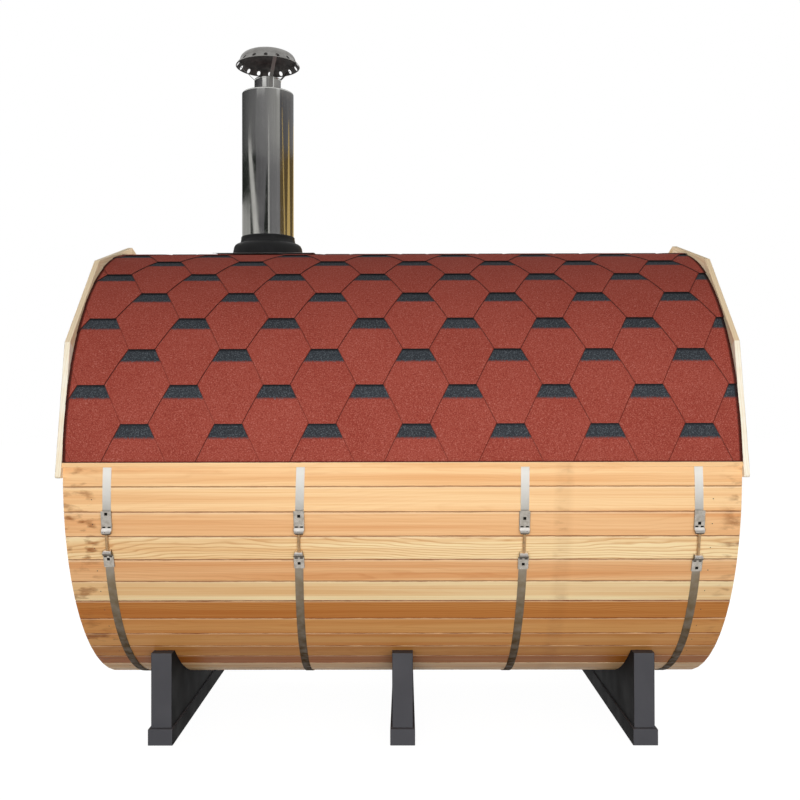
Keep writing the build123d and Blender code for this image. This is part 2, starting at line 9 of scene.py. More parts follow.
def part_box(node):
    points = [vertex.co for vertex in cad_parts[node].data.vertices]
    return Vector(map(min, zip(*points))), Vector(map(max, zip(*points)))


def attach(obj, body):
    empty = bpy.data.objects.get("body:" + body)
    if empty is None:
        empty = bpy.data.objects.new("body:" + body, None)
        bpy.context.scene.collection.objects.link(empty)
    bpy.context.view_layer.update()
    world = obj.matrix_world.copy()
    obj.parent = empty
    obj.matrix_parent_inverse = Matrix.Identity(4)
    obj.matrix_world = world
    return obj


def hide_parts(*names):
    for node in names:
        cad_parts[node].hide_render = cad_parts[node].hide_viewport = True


bl_info = {
    "name": "Barrel sauna",
    "version": (1, 0, 0),
    "blender": (4, 5, 0),
    "location": "View3D > Sidebar > Sauna",
    "description": "Dresses the frame of a barrel sauna with wood, shingles and steel",
    "category": "Object",
}

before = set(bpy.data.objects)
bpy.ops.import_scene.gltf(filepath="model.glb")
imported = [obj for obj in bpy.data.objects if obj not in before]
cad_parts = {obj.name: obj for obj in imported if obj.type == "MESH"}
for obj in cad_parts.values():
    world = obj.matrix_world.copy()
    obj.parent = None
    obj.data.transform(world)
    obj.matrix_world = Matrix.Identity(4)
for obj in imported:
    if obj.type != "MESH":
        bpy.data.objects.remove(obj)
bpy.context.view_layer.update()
BODY = "root"
MM = 0.001
FULL_TURN = 2 * math.pi
NEAR_SIDE = -1
FAR_SIDE = 1
RIGHT = Vector((1, 0, 0))
UNIT_HALF = 0.5
SEAT = 0.3 * MM
MERGE_DISTANCE = 0.01 * MM
CUT_DISTANCE = 0.001 * MM
SMOOTH_ANGLE = math.radians(38)


def span(node, axis):
    """Lowest and highest place of a frame node along one axis."""
    low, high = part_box(node)
    return low[axis], high[axis]


def half_span(node, axis):
    low, high = span(node, axis)
    return (high - low) / 2


def middle(node, axis):
    return sum(span(node, axis)) / 2


def named(*starts):
    """Frame nodes whose names start in one of these ways."""
    return [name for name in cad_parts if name.startswith(starts)]


# Barrel, taken from the frame. X runs along it, the near side is at -Y and Z is up.
STAVE_COUNT = 62
AXIS_HEIGHT = middle("band_2", 2)
BAND_RADIUS = half_span("band_2", 2)
BAND_STAND = 2 * MM
STAVE_STEP = FULL_TURN / STAVE_COUNT
STAVE_PITCH = STAVE_STEP * BAND_RADIUS
STAVE_FACE = BAND_RADIUS * math.cos(STAVE_STEP / 2) - BAND_STAND
STAVE_NODES = named("staves_")
CRADLE_NODES = named("cradle_", "sill_")
WALL_NODES = named("rear_wall", "door_wall")
BAND_NODES = [f"band_{number}" for number in range(1, 5)]
CLAMP_NODES = [f"band_clamp_{number}" for number in range(1, 5)]

# Boards and their nails, in metres. A flatness is the share of a head's radius that it stands proud.
BOARD_PITCH = 94.29 * MM
FASCIA_BOARDS = 6
FASCIA_STEP = math.pi / FASCIA_BOARDS
FASCIA_NAIL_RADIUS = 880 * MM
FASCIA_NAIL_TURN = math.radians(3.5)
HEAD_SEGMENTS = 8
HEAD_RINGS = 5
DOMED = 0.4
FLUSH = 0.004

# Screws of the door's hinges, in metres
HINGE_SHEET = 4 * MM
HINGE_PLATE_HALF = 55 * MM
HINGE_PLATE = 26 * MM
STRAP_SCREW_PLACES = (-30 * MM, -140 * MM, -250 * MM)
PLATE_SCREW_PLACE = 17 * MM
PLATE_SCREW_RISES = (-38 * MM, 38 * MM)

# Clamps on the bands, in metres. The bands lean by degrees, and the taper is for each metre.
BAND_LEANS = (1.7, 2.0, 0.3, -1.7)
CLAMP_WIDTH = 38 * MM
CLAMP_EDGE = 5 * MM
CLAMP_LIP_MM = ((5, 7), (0, 8), (-5, 14), (-10, 20), (-15, 22), (-20, 19), (-24, 12), (-24, 4))
CLAMP_TAPER_START = -6 * MM
LIP_REACH = 4 * MM
CLAMP_TAPER = 16.0
CLAMP_ROUNDING = 1.6 * MM
CLAMP_ROUNDING_STEPS = 2
CLAMP_SINK = 4 * MM
CLAMP_RIM = 0.4 * MM
UPPER_PLATE = 62 * MM
LOWER_PLATE = 46 * MM
SLIT_REACH = (4 * MM, 15 * MM)
SLIT_LEVELS = (1 * MM, 6 * MM)
HOLE_WIDTH = 11 * MM
ROD_RADIUS = 5.5 * MM
ROD_STAND = 11 * MM
ROD_START = 10 * MM
THREAD_PITCH = 3 * MM
THREAD_DEPTH = 0.8 * MM
ROD_STEPS = 12
UPPER_HOLE_SHARES = (0.84, 0.7, 0.55, 0.25)
LOWER_HOLE_SHARES = (0.3, 0.55, 0.55, 0.7)

# Roof, taken from the frame
ROOF_LEFT, ROOF_RIGHT = span("roof_shingles_near", 0)
ROOF_SEAT = -span("eave_batten_near", 1)[1]
EAVE_LEVEL = span("roof_shingles_near", 2)[0] - AXIS_HEIGHT
ROOF_RADIUS = span("roof_shingles_near", 2)[1] - AXIS_HEIGHT
RIDGE_ARC = ROOF_RADIUS * math.pi / 2
SLOT_HIDDEN = 15 * MM
CURVE_STEP = 24 * MM
STARTER_COURSES = 3

# Marks on the shingles, in metres: the slate's ragged foot, and painted shadows under a lap, along the cut
# lines and along the ragged ends and foot
RAGGED_REACH = 24 * MM
RAGGED_LEVELS = (8 * MM, 16 * MM)
LAP_SHADOW = (9 * MM, 2 * MM)
CUT_LINE = (3.5 * MM, 1.5 * MM)
TAB_MIDDLE = (-1 * MM, 1 * MM)
RAGGED_END_REACH = 17 * MM
FASCIA_SHADOW_LINE = 4 * MM
EAVE_SHADOW_LINE = (6 * MM, 2 * MM)

# Flue, taken from the frame. Outlines are in millimetres, outward and up from the corner they belong to.
FLUE_X = middle("flue_outer_pipe", 0)
FLUE_AXIS = Vector((FLUE_X, 0, 0))
FLUE_STEPS = 96
FLUE_RADIUS = half_span("flue_outer_pipe", 0)
FLUE_FOOT, FLUE_TOP = span("flue_outer_pipe", 2)
PIPE_SHEET = 1.2 * MM
PIPE_RIM_MM = ((0, -6), (0, -2), (-0.8, 0), (-4, 0), (-6, -4))
PIPE_UNDER_MM = ((-7, -5), (-1.2, -7))
RIM_DEPTH = 2 * MM
LID_BORE_MM = ((0.4, -4), (0.4, -5))
NECK_RADIUS = half_span("flue_inner_pipe", 0)
NECK_FOOT, NECK_TOP = span("flue_inner_pipe", 2)
NECK_SHEET = 1 * MM
NECK_RIM_MM = ((0, -10), (0, -7), (1.6, -5), (1.6, -2), (0, 0), (-1, 0))
BRIM_LEVEL, CAP_TOP = span("flue_cap", 2)
BRIM_RADIUS = half_span("flue_cap", 0)
BRIM_HEIGHT = 23 * MM
BRIM_SHARES = (0.0, 0.1, 0.88, 1.0)
BRIM_HOLES = 16
HOLE_STEPS = 3
HOLE_SHARES = (0.3, 0.7)
CAP_RADIUS = 124 * MM
CAP_DOME_MM = ((0, 0), (36, 0), (72, -4), (98, -11), (116, -22), (123, -35))
CAP_SHEET = 1.2 * MM
CAP_ROUNDING = 2
BOOT_TOP = span("flue_boot", 2)[1]
BOOT_RADIUS = half_span("flue_boot", 0)
BOOT_COLLAR = 31 * MM
BOOT_SINK = 20 * MM
BOOT_COLLAR_MM = ((0, 0), (2.5, 0), (4, -2), (4, -9), (6, -20))
BOOT_SKIRT_MM = ((10, 1), (16, -1), (24, -3), (31, -8), (36, -18))
BOOT_FOOT_MM = ((-3, -40),)
FLASHING_RIM = 9 * MM
FLASHING_LIFT = 4 * MM
FLASHING_SHEET = 1 * MM
FLASHING_RADIUS = span("flue_flashing", 2)[1] - AXIS_HEIGHT

# Shades of cedar, from the palest to the darkest
SAPWOOD = "#ffe6b5"
STRAW = "#fcd4a0"
HONEY = "#f4c490"
TAN = "#e4a968"
OCHRE = "#d49856"
RUSSET = "#cc8a4a"
UMBER = "#b56e26"

# Boards in order: shade, and how strongly the growth rings show. Staves are counted down the near side.
STAVE_BOARDS = (
    (STRAW, 0.12),
    (STRAW, 0.08),
    (HONEY, 0.12),
    (SAPWOOD, 0.55),
    (HONEY, 0.2),
    (SAPWOOD, 0.04),
    (RUSSET, 0.4),
    (TAN, 0.12),
    (TAN, 0.1),
    (OCHRE, 0.15),
    (UMBER, 0.15),
)
WALL_BOARDS = (
    ("#f0c88f", 0.3),
    ("#e3b47b", 0.5),
    ("#f6d6a2", 0.2),
    ("#d8a46c", 0.4),
    ("#ecc28a", 0.6),
    ("#deae76", 0.25),
)
FASCIA_TONES = (
    ("#fdeccd", 0.3),
    ("#efd9b2", 0.2),
    ("#fff8e6", 0.25),
    ("#f8e6c8", 0.25),
)

# What broad streaks, fibre, late rings and end grain multiply a board's tone by
CEDAR_GRAIN = ("#e2b07c", "#e9c79c", "#cf9a62", "#c99664")
PINE_GRAIN = ("#f3e3c6", "#f4e6cc", "#d9b487", "#c99664")

# Grain of a board: length and width of a mark in metres, then detail and roughness of its noise
GRAIN = {
    "drift": (1111 * MM, 200 * MM, 1.0, 0.5),
    "ripple": (200 * MM, 38.46 * MM, 2.0, 0.5),
    "streak": (2222 * MM, 41.67 * MM, 2.0, 0.5),
    "fibre": (625 * MM, 3.333 * MM, 3.0, 0.5),
    "blotch": (71.43 * MM, 29.41 * MM, 4.0, 0.5),
    "wear": (111.1 * MM, 333.3 * MM, 5.0, 0.65),
}
GRAIN_RELIEF = 0.5 * MM
BOARD_APART = 7.31
ENDS_APART = 10.0
RING_SPACING = 7 * MM
RING_DRIFT = 90 * MM
RING_RIPPLE = 14 * MM
HEART_SPREAD = 160 * MM
HEART_DEPTH = 30 * MM
HEART_DEPTH_SPREAD = 110 * MM

# Marks on the boards, in metres: water stains at the ends, a row across the staves, and painted highlights
# on corners at joints
LEFT_STAINS = (-1.04, -1.12)
RIGHT_STAINS = (1.12, 1.19)
ROW_PLACE = 0.575
ROW_REACH = (0.04, 0.015)
HIGHLIGHT_LINE = (9 * MM, 6 * MM)
JOINT_WEAR = 6 * MM
JOINT_EDGE = (-0.5 * MM, 1.5 * MM)

# Patterns of the other finishes, in metres
PAINT_GRAIN = (11.11 * MM, 250 * MM, 11.11 * MM)
PAINT_PATCH = 142.9 * MM
PAINT_RELIEF = 0.8 * MM
ZINC_CRYSTAL = 9 * MM
ZINC_PATCH = 33.33 * MM
ZINC_RELIEF = 0.3 * MM
BRIGHT_DROP = 140 * MM
DARKENING_DROPS = (200 * MM, 400 * MM)
BROWN_DROPS = (400 * MM, 750 * MM)
CLAMP_PATCH = 12.5 * MM
HOLE_SHADE_PATCH = 5 * MM
BOLT_PATCH = 11.11 * MM
ROLLING_LINES = (14.29 * MM, 14.29 * MM, 666.7 * MM)
SMUDGE = 111.1 * MM
CAP_PATCH = 45.45 * MM
SOOT_PATCH = 25 * MM
RUBBER_PATCH = 38.46 * MM
RUBBER_RELIEF = 0.6 * MM
GRANULE = 4 * MM
GRANULE_RELIEF = 1 * MM
WORN_PATCH = 166.7 * MM
BITUMEN_PATCH = 8.333 * MM
IRON_PATCH = 3.333 * MM
HINGE_PATCH = 16.67 * MM
HINGE_RELIEF = 0.4 * MM

# Settings of a mix of two colours, with its share at socket 0 and the colours at 6 and 7
MIXED = {"output": 2, "data_type": "RGBA"}
DEEPENED = {"output": 2, "data_type": "RGBA", "blend_type": "MULTIPLY"}
EVENLY = (0.0, 1.0, 0.0, 1.0)

# Camera fitted to the photograph, in an image of 800 by 800 pixels
IMAGE_WIDTH_PX = 800
FOCAL_LENGTH_PX = 994.16
SENSOR_WIDTH_MM = 36.0
CAMERA_PLACE = Vector((0.010, -4.423, 1.286))
CAMERA_YAW = -0.0046
CAMERA_PITCH = 0.0079
CAMERA_ROLL = -0.0021

# Stage, in metres
FLOOR_HALF_WIDTH = 30.0
FLOOR_BOUNCE = 0.16
FLOOR_WHITE = 0.95
FLOOR_GLOW_SHARE = 0.9
FLOOR_GLOW = 1.08
SKY_STRENGTH = 0.33
KEY_SIZE = (4.0, 2.0)
KEY_PLACE = Vector((0.2, -5.6, 1.25))
KEY_POWER = 205.0
FILL_SIZE = (3.0, 3.0)
FILL_PLACE = Vector((5.0, 3.5, 3.1))
FILL_POWER = 230.0
CARD_DISTANCE = 5.0
STRIP_DISTANCE = 4.8
CARD_STEPS = 12

# Stock of the glowing cards round the flue, which paint the reflections in its mirror
CHARCOAL = "#292c29"
DARK_GREY = "#626164"
MID_GREY = "#8c8b8d"
PALE_GREY = "#b4b3b1"
NEAR_WHITE = "#dcdbd8"
BRONZE = "#6c5b3e"
BRASS = "#dfbe78"

# Heights of the rows of cards, in metres
LOW_ROW = (2.6, 3.66)
HIGH_ROW = (3.66, 4.262)
TOP_ROW = (4.262, 4.7)

# Cards round the flue: row, angles of both sides in degrees from the near side, and stock at both sides
CARDS = (
    ("low_left_card", LOW_ROW, (-172, -46), (CHARCOAL, CHARCOAL)),
    ("low_front_card", LOW_ROW, (-46, 62), (DARK_GREY, MID_GREY)),
    ("low_right_card", LOW_ROW, (62, 188), (BRONZE, BRONZE)),
    ("high_left_card", HIGH_ROW, (-172, -12), (CHARCOAL, MID_GREY)),
    ("high_front_card", HIGH_ROW, (-12, 62), (MID_GREY, PALE_GREY)),
    ("high_right_card", HIGH_ROW, (62, 188), (DARK_GREY, MID_GREY)),
    ("top_left_card", TOP_ROW, (-172, -42), (CHARCOAL, DARK_GREY)),
    ("top_front_card", TOP_ROW, (-6, 46), (MID_GREY, PALE_GREY)),
    ("top_right_card", TOP_ROW, (62, 188), (PALE_GREY, MID_GREY)),
)

# Tapered strips before the cards: heights, angles of the sides at the foot and at the head, and stock
STRIPS = (
    ("left_strip", (2.6, 3.7), (-48, -18), (-92, -74), NEAR_WHITE),
    ("left_foot_strip", (2.6, 3.16), (-172, -70), (-172, -80), PALE_GREY),
    ("dark_strip", (2.6, 3.4), (-16, 8), (0, 8), CHARCOAL),
    ("white_strip", (2.6, 3.9), (8, 15), (10, 12), NEAR_WHITE),
    ("brass_strip", (2.6, 4.0), (86, 94), (72, 74), BRASS),
    ("wide_brass_strip", (2.6, 3.9), (98, 126), (112, 116), BRASS),
    ("edge_brass_strip", (2.6, 3.9), (146, 188), (168, 188), BRASS),
)


def linear(code):
    """Linear colour with full alpha from an sRGB hex value."""
    channels = [int(code[place:place + 2], 16) / 255 for place in (1, 3, 5)]
    bent = [c / 12.92 if c <= 0.04045 else ((c + 0.055) / 1.055) ** 2.4 for c in channels]
    return (*bent, 1.0)


def grey(value):
    return (value, value, value, 1.0)


def length_property(name, description, default):
    return bpy.props.FloatProperty(
        name=name, description=description, default=default, min=0.0, unit="LENGTH", precision=4
    )


def colour_property(name, description, code):
    return bpy.props.FloatVectorProperty(
        name=name, description=description, default=linear(code), size=4, min=0.0, max=1.0, subtype="COLOR"
    )


class SaunaSizes(bpy.types.PropertyGroup):
    """Sizes of the pieces that are laid on the frame"""

    tab_spacing: length_property("Tab spacing", "Between the middles of two shingle tabs", 334.5 * MM)
    tab_foot: length_property("Tab foot", "Width of a tab at its lower edge", 98 * MM)
    course_height: length_property("Course", "Height of a course of shingles", 145.6 * MM)
    first_course: length_property("First course", "Arc from the axis level up to it", 178.5 * MM)
    tab_shift: length_property("Tab shift", "Place along the barrel of a tab in that course", 52 * MM)
    strip_lap: length_property("Strip lap", "How far a strip reaches under the second course above", 46 * MM)
    shingle_thickness: length_property("Shingle thickness", "Thickness of the felt", 2.8 * MM)
    slate_height: length_property("Slate band", "Height of the dark band that shows", 51 * MM)
    nail_radius: length_property("Nail radius", "Radius of a nail's head in the boards", 2.6 * MM)
    screw_radius: length_property("Screw radius", "Radius of a hinge screw's head", 5 * MM)


class SaunaColours(bpy.types.PropertyGroup):
    """Main colours of the finishes"""

    shingle_red: colour_property("Shingle red", "Mineral granules on the tabs", "#9b4539")
    slate: colour_property("Slate", "Dark granules of the band above each tab", "#33363a")
    paint: colour_property("Cradle paint", "Charcoal paint of cradles and sills", "#4f4f53")
    zinc: colour_property("Zinc", "Galvanised skin of the bands", "#bab6ae")
    stainless: colour_property("Stainless steel", "Polished steel of the flue", "#c8c8c5")
    cap_steel: colour_property("Cap steel", "Dulled steel of the flue's cap", "#959390")
    rubber: colour_property("Rubber", "Boot round the flue's foot", "#0b0b0c")
    bolt: colour_property("Bolt", "Yellow-passivated rods and screws", "#c9a67c")


def plug(tree, node, inputs):
    """Sets a node's sockets, by a link where the value is another node's output."""
    for key, value in inputs.items() if isinstance(inputs, dict) else enumerate(inputs):
        if isinstance(value, bpy.types.NodeSocket):
            tree.links.new(value, node.inputs[key])
        else:
            node.inputs[key].default_value = linear(value) if isinstance(value, str) else value


def add_node(tree, kind, inputs=(), operation=None, output=0, stops=(), blend="LINEAR", **settings):
    """Adds one node with its settings, colour stops and links; returns an output, or the node for None."""
    node = tree.nodes.new("ShaderNode" + kind)
    if operation:
        node.operation = operation
    for key, value in settings.items():
        setattr(node, key, value)
    plug(tree, node, inputs)
    if stops:
        ramp = node.color_ramp
        ramp.interpolation = blend
        ramp.elements.remove(ramp.elements[1])
        ramp.elements[0].position = stops[0][0]
        ramp.elements[0].color = stops[0][1]
        for place, colour in stops[1:]:
            ramp.elements.new(place).color = colour
    return node if output is None else node.outputs[output]


def new_material(name):
    """A material, and what adds nodes to its tree."""
    material = bpy.data.materials.new(name)
    material.use_nodes = True
    return material, partial(add_node, material.node_tree)


def finish(material, sockets):
    """Sets the sockets of a material's shader."""
    tree = material.node_tree
    plug(tree, tree.nodes["Principled BSDF"], sockets)
    return material


def lengthwise(add):
    """How squarely a face looks along the barrel, from 0 to 1."""
    normal = add("NewGeometry", output="Normal")
    facing = add("SeparateXYZ", [normal])
    return add("Math", [facing], "ABSOLUTE")


def round_axis(add):
    """The place along the barrel, reach to the near side, rise and angle about its axis."""
    place = add("TexCoord", output="Object")
    x, y, z = add("SeparateXYZ", [place], output=None).outputs
    rise = add("Math", [z, AXIS_HEIGHT], "SUBTRACT")
    reach = add("Math", [y, -1.0], "MULTIPLY")
    angle = add("Math", [rise, reach], "ARCTAN2")
    return x, reach, rise, angle


def side_by_side(add, place, pitch):
    """The number of the board or tab at a place in a row of them, and the place across it."""
    turns = add("Math", [place, 1 / pitch, 0.5], "MULTIPLY_ADD")
    number = add("Math", [turns], "FLOOR")
    part = add("Math", [turns, number], "SUBTRACT")
    across = add("Math", [part, pitch, -pitch / 2], "MULTIPLY_ADD")
    return number, across


# How boards lie in the pieces: each gives the place along a board, across it, into it, and its number

def stave_lay(add):
    """Staves lie along X, side by side round the barrel's axis, and are counted down the near side."""
    x, reach, rise, angle = round_axis(add)
    arc = add("Math", [angle, BAND_RADIUS], "MULTIPLY")
    whole, across = side_by_side(add, arc, STAVE_PITCH)
    down = add("Math", [whole, -1.0], "MULTIPLY")
    number = add("Math", [down, STAVE_COUNT], "FLOORED_MODULO")
    spoke = add("CombineXYZ", [0.0, reach, rise])
    radius = add("VectorMath", [spoke], "LENGTH", output="Value")
    depth = add("Math", [radius, BAND_RADIUS], "SUBTRACT")
    return x, across, depth, number


def upright_lay(add):
    """Wall and door boards stand along Z, side by side along Y."""
    place = add("TexCoord", output="Object")
    x, y, z = add("SeparateXYZ", [place], output=None).outputs
    number, across = side_by_side(add, y, BOARD_PITCH)
    return z, across, x, number


def fascia_lay(add):
    """Fascia boards follow the chords of the arch, six to an end."""
    x, reach, rise, angle = round_axis(add)
    turns = add("Math", [angle, 1 / FASCIA_STEP], "MULTIPLY")
    whole = add("Math", [turns], "FLOOR")
    number = add("Math", [whole, 0.0], "MAXIMUM")
    tilt = add("Math", [number, FASCIA_STEP, FASCIA_STEP / 2], "MULTIPLY_ADD")
    spoke = add("CombineXYZ", [reach, rise, 0.0])
    turned_back = add("VectorRotate", {"Vector": spoke, "Angle": tilt}, rotation_type="Z_AXIS", invert=True)
    across, along, _ = add("SeparateXYZ", [turned_back], output=None).outputs
    end = add("Math", [x], "SIGN")
    board = add("Math", [end, ENDS_APART, number], "MULTIPLY_ADD")
    return along, across, x, board


def wood(name, lay, boards, grain_tones, joint, roughness, stained=False):
    """Planed softwood: each board has its own tone, streaks along it and rings that run out in flames."""
    material, add = new_material(name)
    along, across, depth, number = lay(add)
    draw = add("TexWhiteNoise", {"W": number}, output="Color", noise_dimensions="1D")
    luck = add("SeparateXYZ", [draw], output=None).outputs
    apart = add("Math", [number, BOARD_APART], "MULTIPLY")
    board = add("CombineXYZ", [along, across, apart])
    noise = {}
    for kind, (length, width, detail, rough) in GRAIN.items():
        place = add("VectorMath", [board, (1 / length, 1 / width, 1.0)], "MULTIPLY")
        settings = {"Vector": place, "Scale": 1.0, "Detail": detail, "Roughness": rough}
        noise[kind] = add("TexNoise", settings)

    # Tones follow one another in order, with the strength of the rings as alpha
    step = 1 / len(boards)
    order = add("Math", [number, len(boards)], "FLOORED_MODULO")
    stop = add("Math", [order, step, step / 2], "MULTIPLY_ADD")
    stops = [(place * step, (*linear(tone)[:3], rings)) for place, (tone, rings) in enumerate(boards)]
    tone = add("ValToRGB", [stop], output=None, stops=stops, blend="CONSTANT").outputs

    # Growth rings round a heart line that lies under the face, off to one side
    heart_side = add("Math", [luck[0], HEART_SPREAD, -HEART_SPREAD / 2], "MULTIPLY_ADD")
    heart_depth = add("Math", [luck[1], HEART_DEPTH_SPREAD, HEART_DEPTH], "MULTIPLY_ADD")
    aside = add("Math", [across, heart_side], "SUBTRACT")
    below = add("Math", [depth, heart_depth], "ADD")
    spoke = add("CombineXYZ", [aside, below, 0.0])
    radius = add("VectorMath", [spoke], "LENGTH", output="Value")
    drifted = add("Math", [noise["drift"], RING_DRIFT, radius], "MULTIPLY_ADD")
    grown = add("Math", [noise["ripple"], RING_RIPPLE, drifted], "MULTIPLY_ADD")
    cycle = add("Math", [grown, 1 / RING_SPACING], "MULTIPLY")
    phase = add("Math", [cycle], "FRACT")
    late_stops = [(0.0, grey(0.0)), (0.55, grey(0.1)), (0.84, grey(1.0)), (1.0, grey(0.0))]
    late = add("ValToRGB", [phase], stops=late_stops)
    late_share = add("Math", [late, tone["Alpha"]], "MULTIPLY")

    # Streaks, fibre and rings deepen the tone, and end grain drinks more oil and is darker
    streak_share = add("MapRange", [noise["streak"], 0.42, 0.68, 0.0, 0.5])
    fibre_share = add("MapRange", [noise["fibre"], 0.4, 0.7, 0.0, 0.35])
    end_share = add("MapRange", [lengthwise(add), 0.6, 0.9, 0.0, 0.7 if stained else 0.0])
    colour = tone["Color"]
    for share, deeper in zip((streak_share, fibre_share, late_share, end_share), grain_tones):
        colour = add("Mix", {0: share, 6: colour, 7: deeper}, **DEEPENED)

    if stained:
        # Brown water marks at the stave ends, and a faint row of them across the staves
        strength = add("MapRange", [luck[2], 0.1, 0.9, 0.2, 0.85])
        patches = add("MapRange", [noise["blotch"], 0.52, 0.66, 0.0, strength])
        left = add("MapRange", [along, *LEFT_STAINS, 0.0, 1.0])
        right = add("MapRange", [along, *RIGHT_STAINS, 0.0, 1.0])
        ends = add("Math", [left, right], "MAXIMUM")
        offset = add("Math", [along, ROW_PLACE], "SUBTRACT")
        away = add("Math", [offset], "ABSOLUTE")
        row = add("MapRange", [away, *ROW_REACH, 0.0, 0.3])
        where = add("Math", [ends, row], "MAXIMUM")
        spots = add("Math", [patches, where], "MULTIPLY")
        stain_share = add("Math", [row, 0.3, spots], "MULTIPLY_ADD")
        colour = add("Mix", {0: stain_share, 6: colour, 7: "#91552a"}, **MIXED)
    if joint:
        # Painted highlight: the planed corner along one edge of a board is drawn paler
        line = [joint - reach for reach in HIGHLIGHT_LINE]
        painted_arris_highlight = add("MapRange", [across, *line, 0.0, 0.35])
        colour = add("Mix", {0: painted_arris_highlight, 6: colour, 7: "#ffe9c4"}, **MIXED)

        # Dirt in the joint on both sides of a board, in patches that reach onto its face
        side = add("Math", [across], "ABSOLUTE")
        patchy = add("Math", [noise["wear"], JOINT_WEAR, side], "MULTIPLY_ADD")
        strength = add("MapRange", [number, 1.0, 7.0, 0.55, 0.95])
        edge = [joint + reach for reach in JOINT_EDGE]
        joint_share = add("MapRange", [patchy, *edge, 0.0, strength])
        colour = add("Mix", {0: joint_share, 6: colour, 7: "#8a5528"}, **DEEPENED)

    gloss = add("MapRange", [noise["fibre"], 0.3, 0.7, roughness - 0.06, roughness + 0.1])
    height = add("Math", [late_share, -0.5, noise["fibre"]], "MULTIPLY_ADD")
    bump = add("Bump", {"Strength": 0.3, "Distance": GRAIN_RELIEF, "Height": height})
    sockets = {"Base Color": colour, "Roughness": gloss, "Specular IOR Level": 0.1, "Normal": bump}
    return finish(material, sockets)


def stave_wood():
    # Cedar, planed and oiled: boards from straw to red-brown, a satin face and long soft streaks
    name = "cedar planed and oiled"
    return wood(name, stave_lay, STAVE_BOARDS, CEDAR_GRAIN, STAVE_PITCH / 2, 0.46, stained=True)


def wall_wood():
    # Cedar tongue boards, planed, standing: the same timber as the staves
    return wood("cedar boards planed", upright_lay, WALL_BOARDS, CEDAR_GRAIN, BOARD_PITCH / 2, 0.5)


def fascia_wood():
    # Pine, sawn and left bare: pale and matte, with quiet rings
    return wood("pine sawn bare", fascia_lay, FASCIA_TONES, PINE_GRAIN, None, 0.62)


def mottled(name, patch, detail, spread, tones, sockets, gloss=None, relief=0.0):
    """A finish that clouds from one tone to another, in patches of a given size."""
    material, add = new_material(name)
    place = add("TexCoord", output="Object")
    cloud = add("TexNoise", {"Vector": place, "Scale": 1 / patch, "Detail": detail})
    share = add("MapRange", [cloud, *spread])
    made = {"Base Color": add("Mix", {0: share, 6: tones[0], 7: tones[1]}, **MIXED)}
    if gloss:
        made["Roughness"] = add("MapRange", [cloud, 0.3, 0.7, *gloss])
    if relief:
        made["Normal"] = add("Bump", {"Strength": 0.2, "Distance": relief, "Height": cloud})
    return finish(material, {**made, **sockets})


def cradle_paint(colours):
    # Softwood under charcoal paint: an even satin film, with the grain just telegraphing through
    material, add = new_material("charcoal paint on softwood")
    place = add("TexCoord", output="Object")
    drawn = add("VectorMath", [place, [1 / size for size in PAINT_GRAIN]], "MULTIPLY")
    grain = add("TexNoise", {"Vector": drawn, "Scale": 1.0, "Detail": 3.0})
    cloud = add("TexNoise", {"Vector": place, "Scale": 1 / PAINT_PATCH, "Detail": 3.0})
    share = add("MapRange", [cloud, 0.35, 0.7, 0.0, 0.35])
    colour = add("Mix", {0: share, 6: colours.paint, 7: "#5f5f63"}, **MIXED)

    # Painted shade: the sides that look along the barrel are darkened nearly to black, far darker than the
    # planed fronts
    painted_cradle_shade = add("MapRange", [lengthwise(add), 0.6, 0.9, 0.0, 0.95])
    colour = add("Mix", {0: painted_cradle_shade, 6: colour, 7: "#060606"}, **MIXED)
    gloss = add("MapRange", [cloud, 0.3, 0.7, 0.6, 0.75])
    bump = add("Bump", {"Strength": 0.25, "Distance": PAINT_RELIEF, "Height": grain})
    sockets = {"Base Color": colour, "Roughness": gloss, "Specular IOR Level": 0.04, "Normal": bump}
    return finish(material, sockets)


def zinc_steel(colours):
    # Hot-dip galvanised strip: pale grey crystals and a soft mirror, a painted highlight near the top, and
    # darker and browner towards the bottom
    material, add = new_material("galvanised steel strip")
    place = add("TexCoord", output="Object")
    _, _, height = add("SeparateXYZ", [place], output=None).outputs
    crystal = add("TexVoronoi", {"Vector": place, "Scale": 1 / ZINC_CRYSTAL}, output="Color")
    cloud = add("TexNoise", {"Vector": place, "Scale": 1 / ZINC_PATCH, "Detail": 3.0})
    tone = add("MapRange", [crystal, 0.0, 1.0, 0.0, 0.25])
    # Painted highlight: near white over the top of the band
    high = add("MapRange", [height, AXIS_HEIGHT - BRIGHT_DROP, AXIS_HEIGHT, 0.0, 1.0])
    # Darker towards the bottom, and browner lower still
    low = add("MapRange", [height, *(AXIS_HEIGHT - drop for drop in DARKENING_DROPS), 0.0, 0.9])
    foot = add("MapRange", [height, *(AXIS_HEIGHT - drop for drop in BROWN_DROPS), 0.0, 1.0])
    streaked = add("MapRange", [cloud, 0.3, 0.7, 0.85, 1.1])
    lower_darkening = add("Math", [low, streaked], "MULTIPLY")
    brown = add("Mix", {0: foot, 6: "#84735a", 7: "#4a3210"}, **MIXED)
    colour = colours.zinc
    for share, coat in ((tone, "#8f9290"), (high, "#f1eee8"), (lower_darkening, brown)):
        colour = add("Mix", {0: share, 6: colour, 7: coat}, **MIXED)
    gloss = add("MapRange", [cloud, 0.3, 0.7, 0.34, 0.5])
    bare = add("MapRange", [lower_darkening, 0.0, 0.9, 1.0, 0.1])
    bump = add("Bump", {"Strength": 0.1, "Distance": ZINC_RELIEF, "Height": cloud})
    sockets = {"Base Color": colour, "Metallic": bare, "Roughness": gloss, "Specular IOR Level": 0.0}
    return finish(material, {**sockets, "Normal": bump})


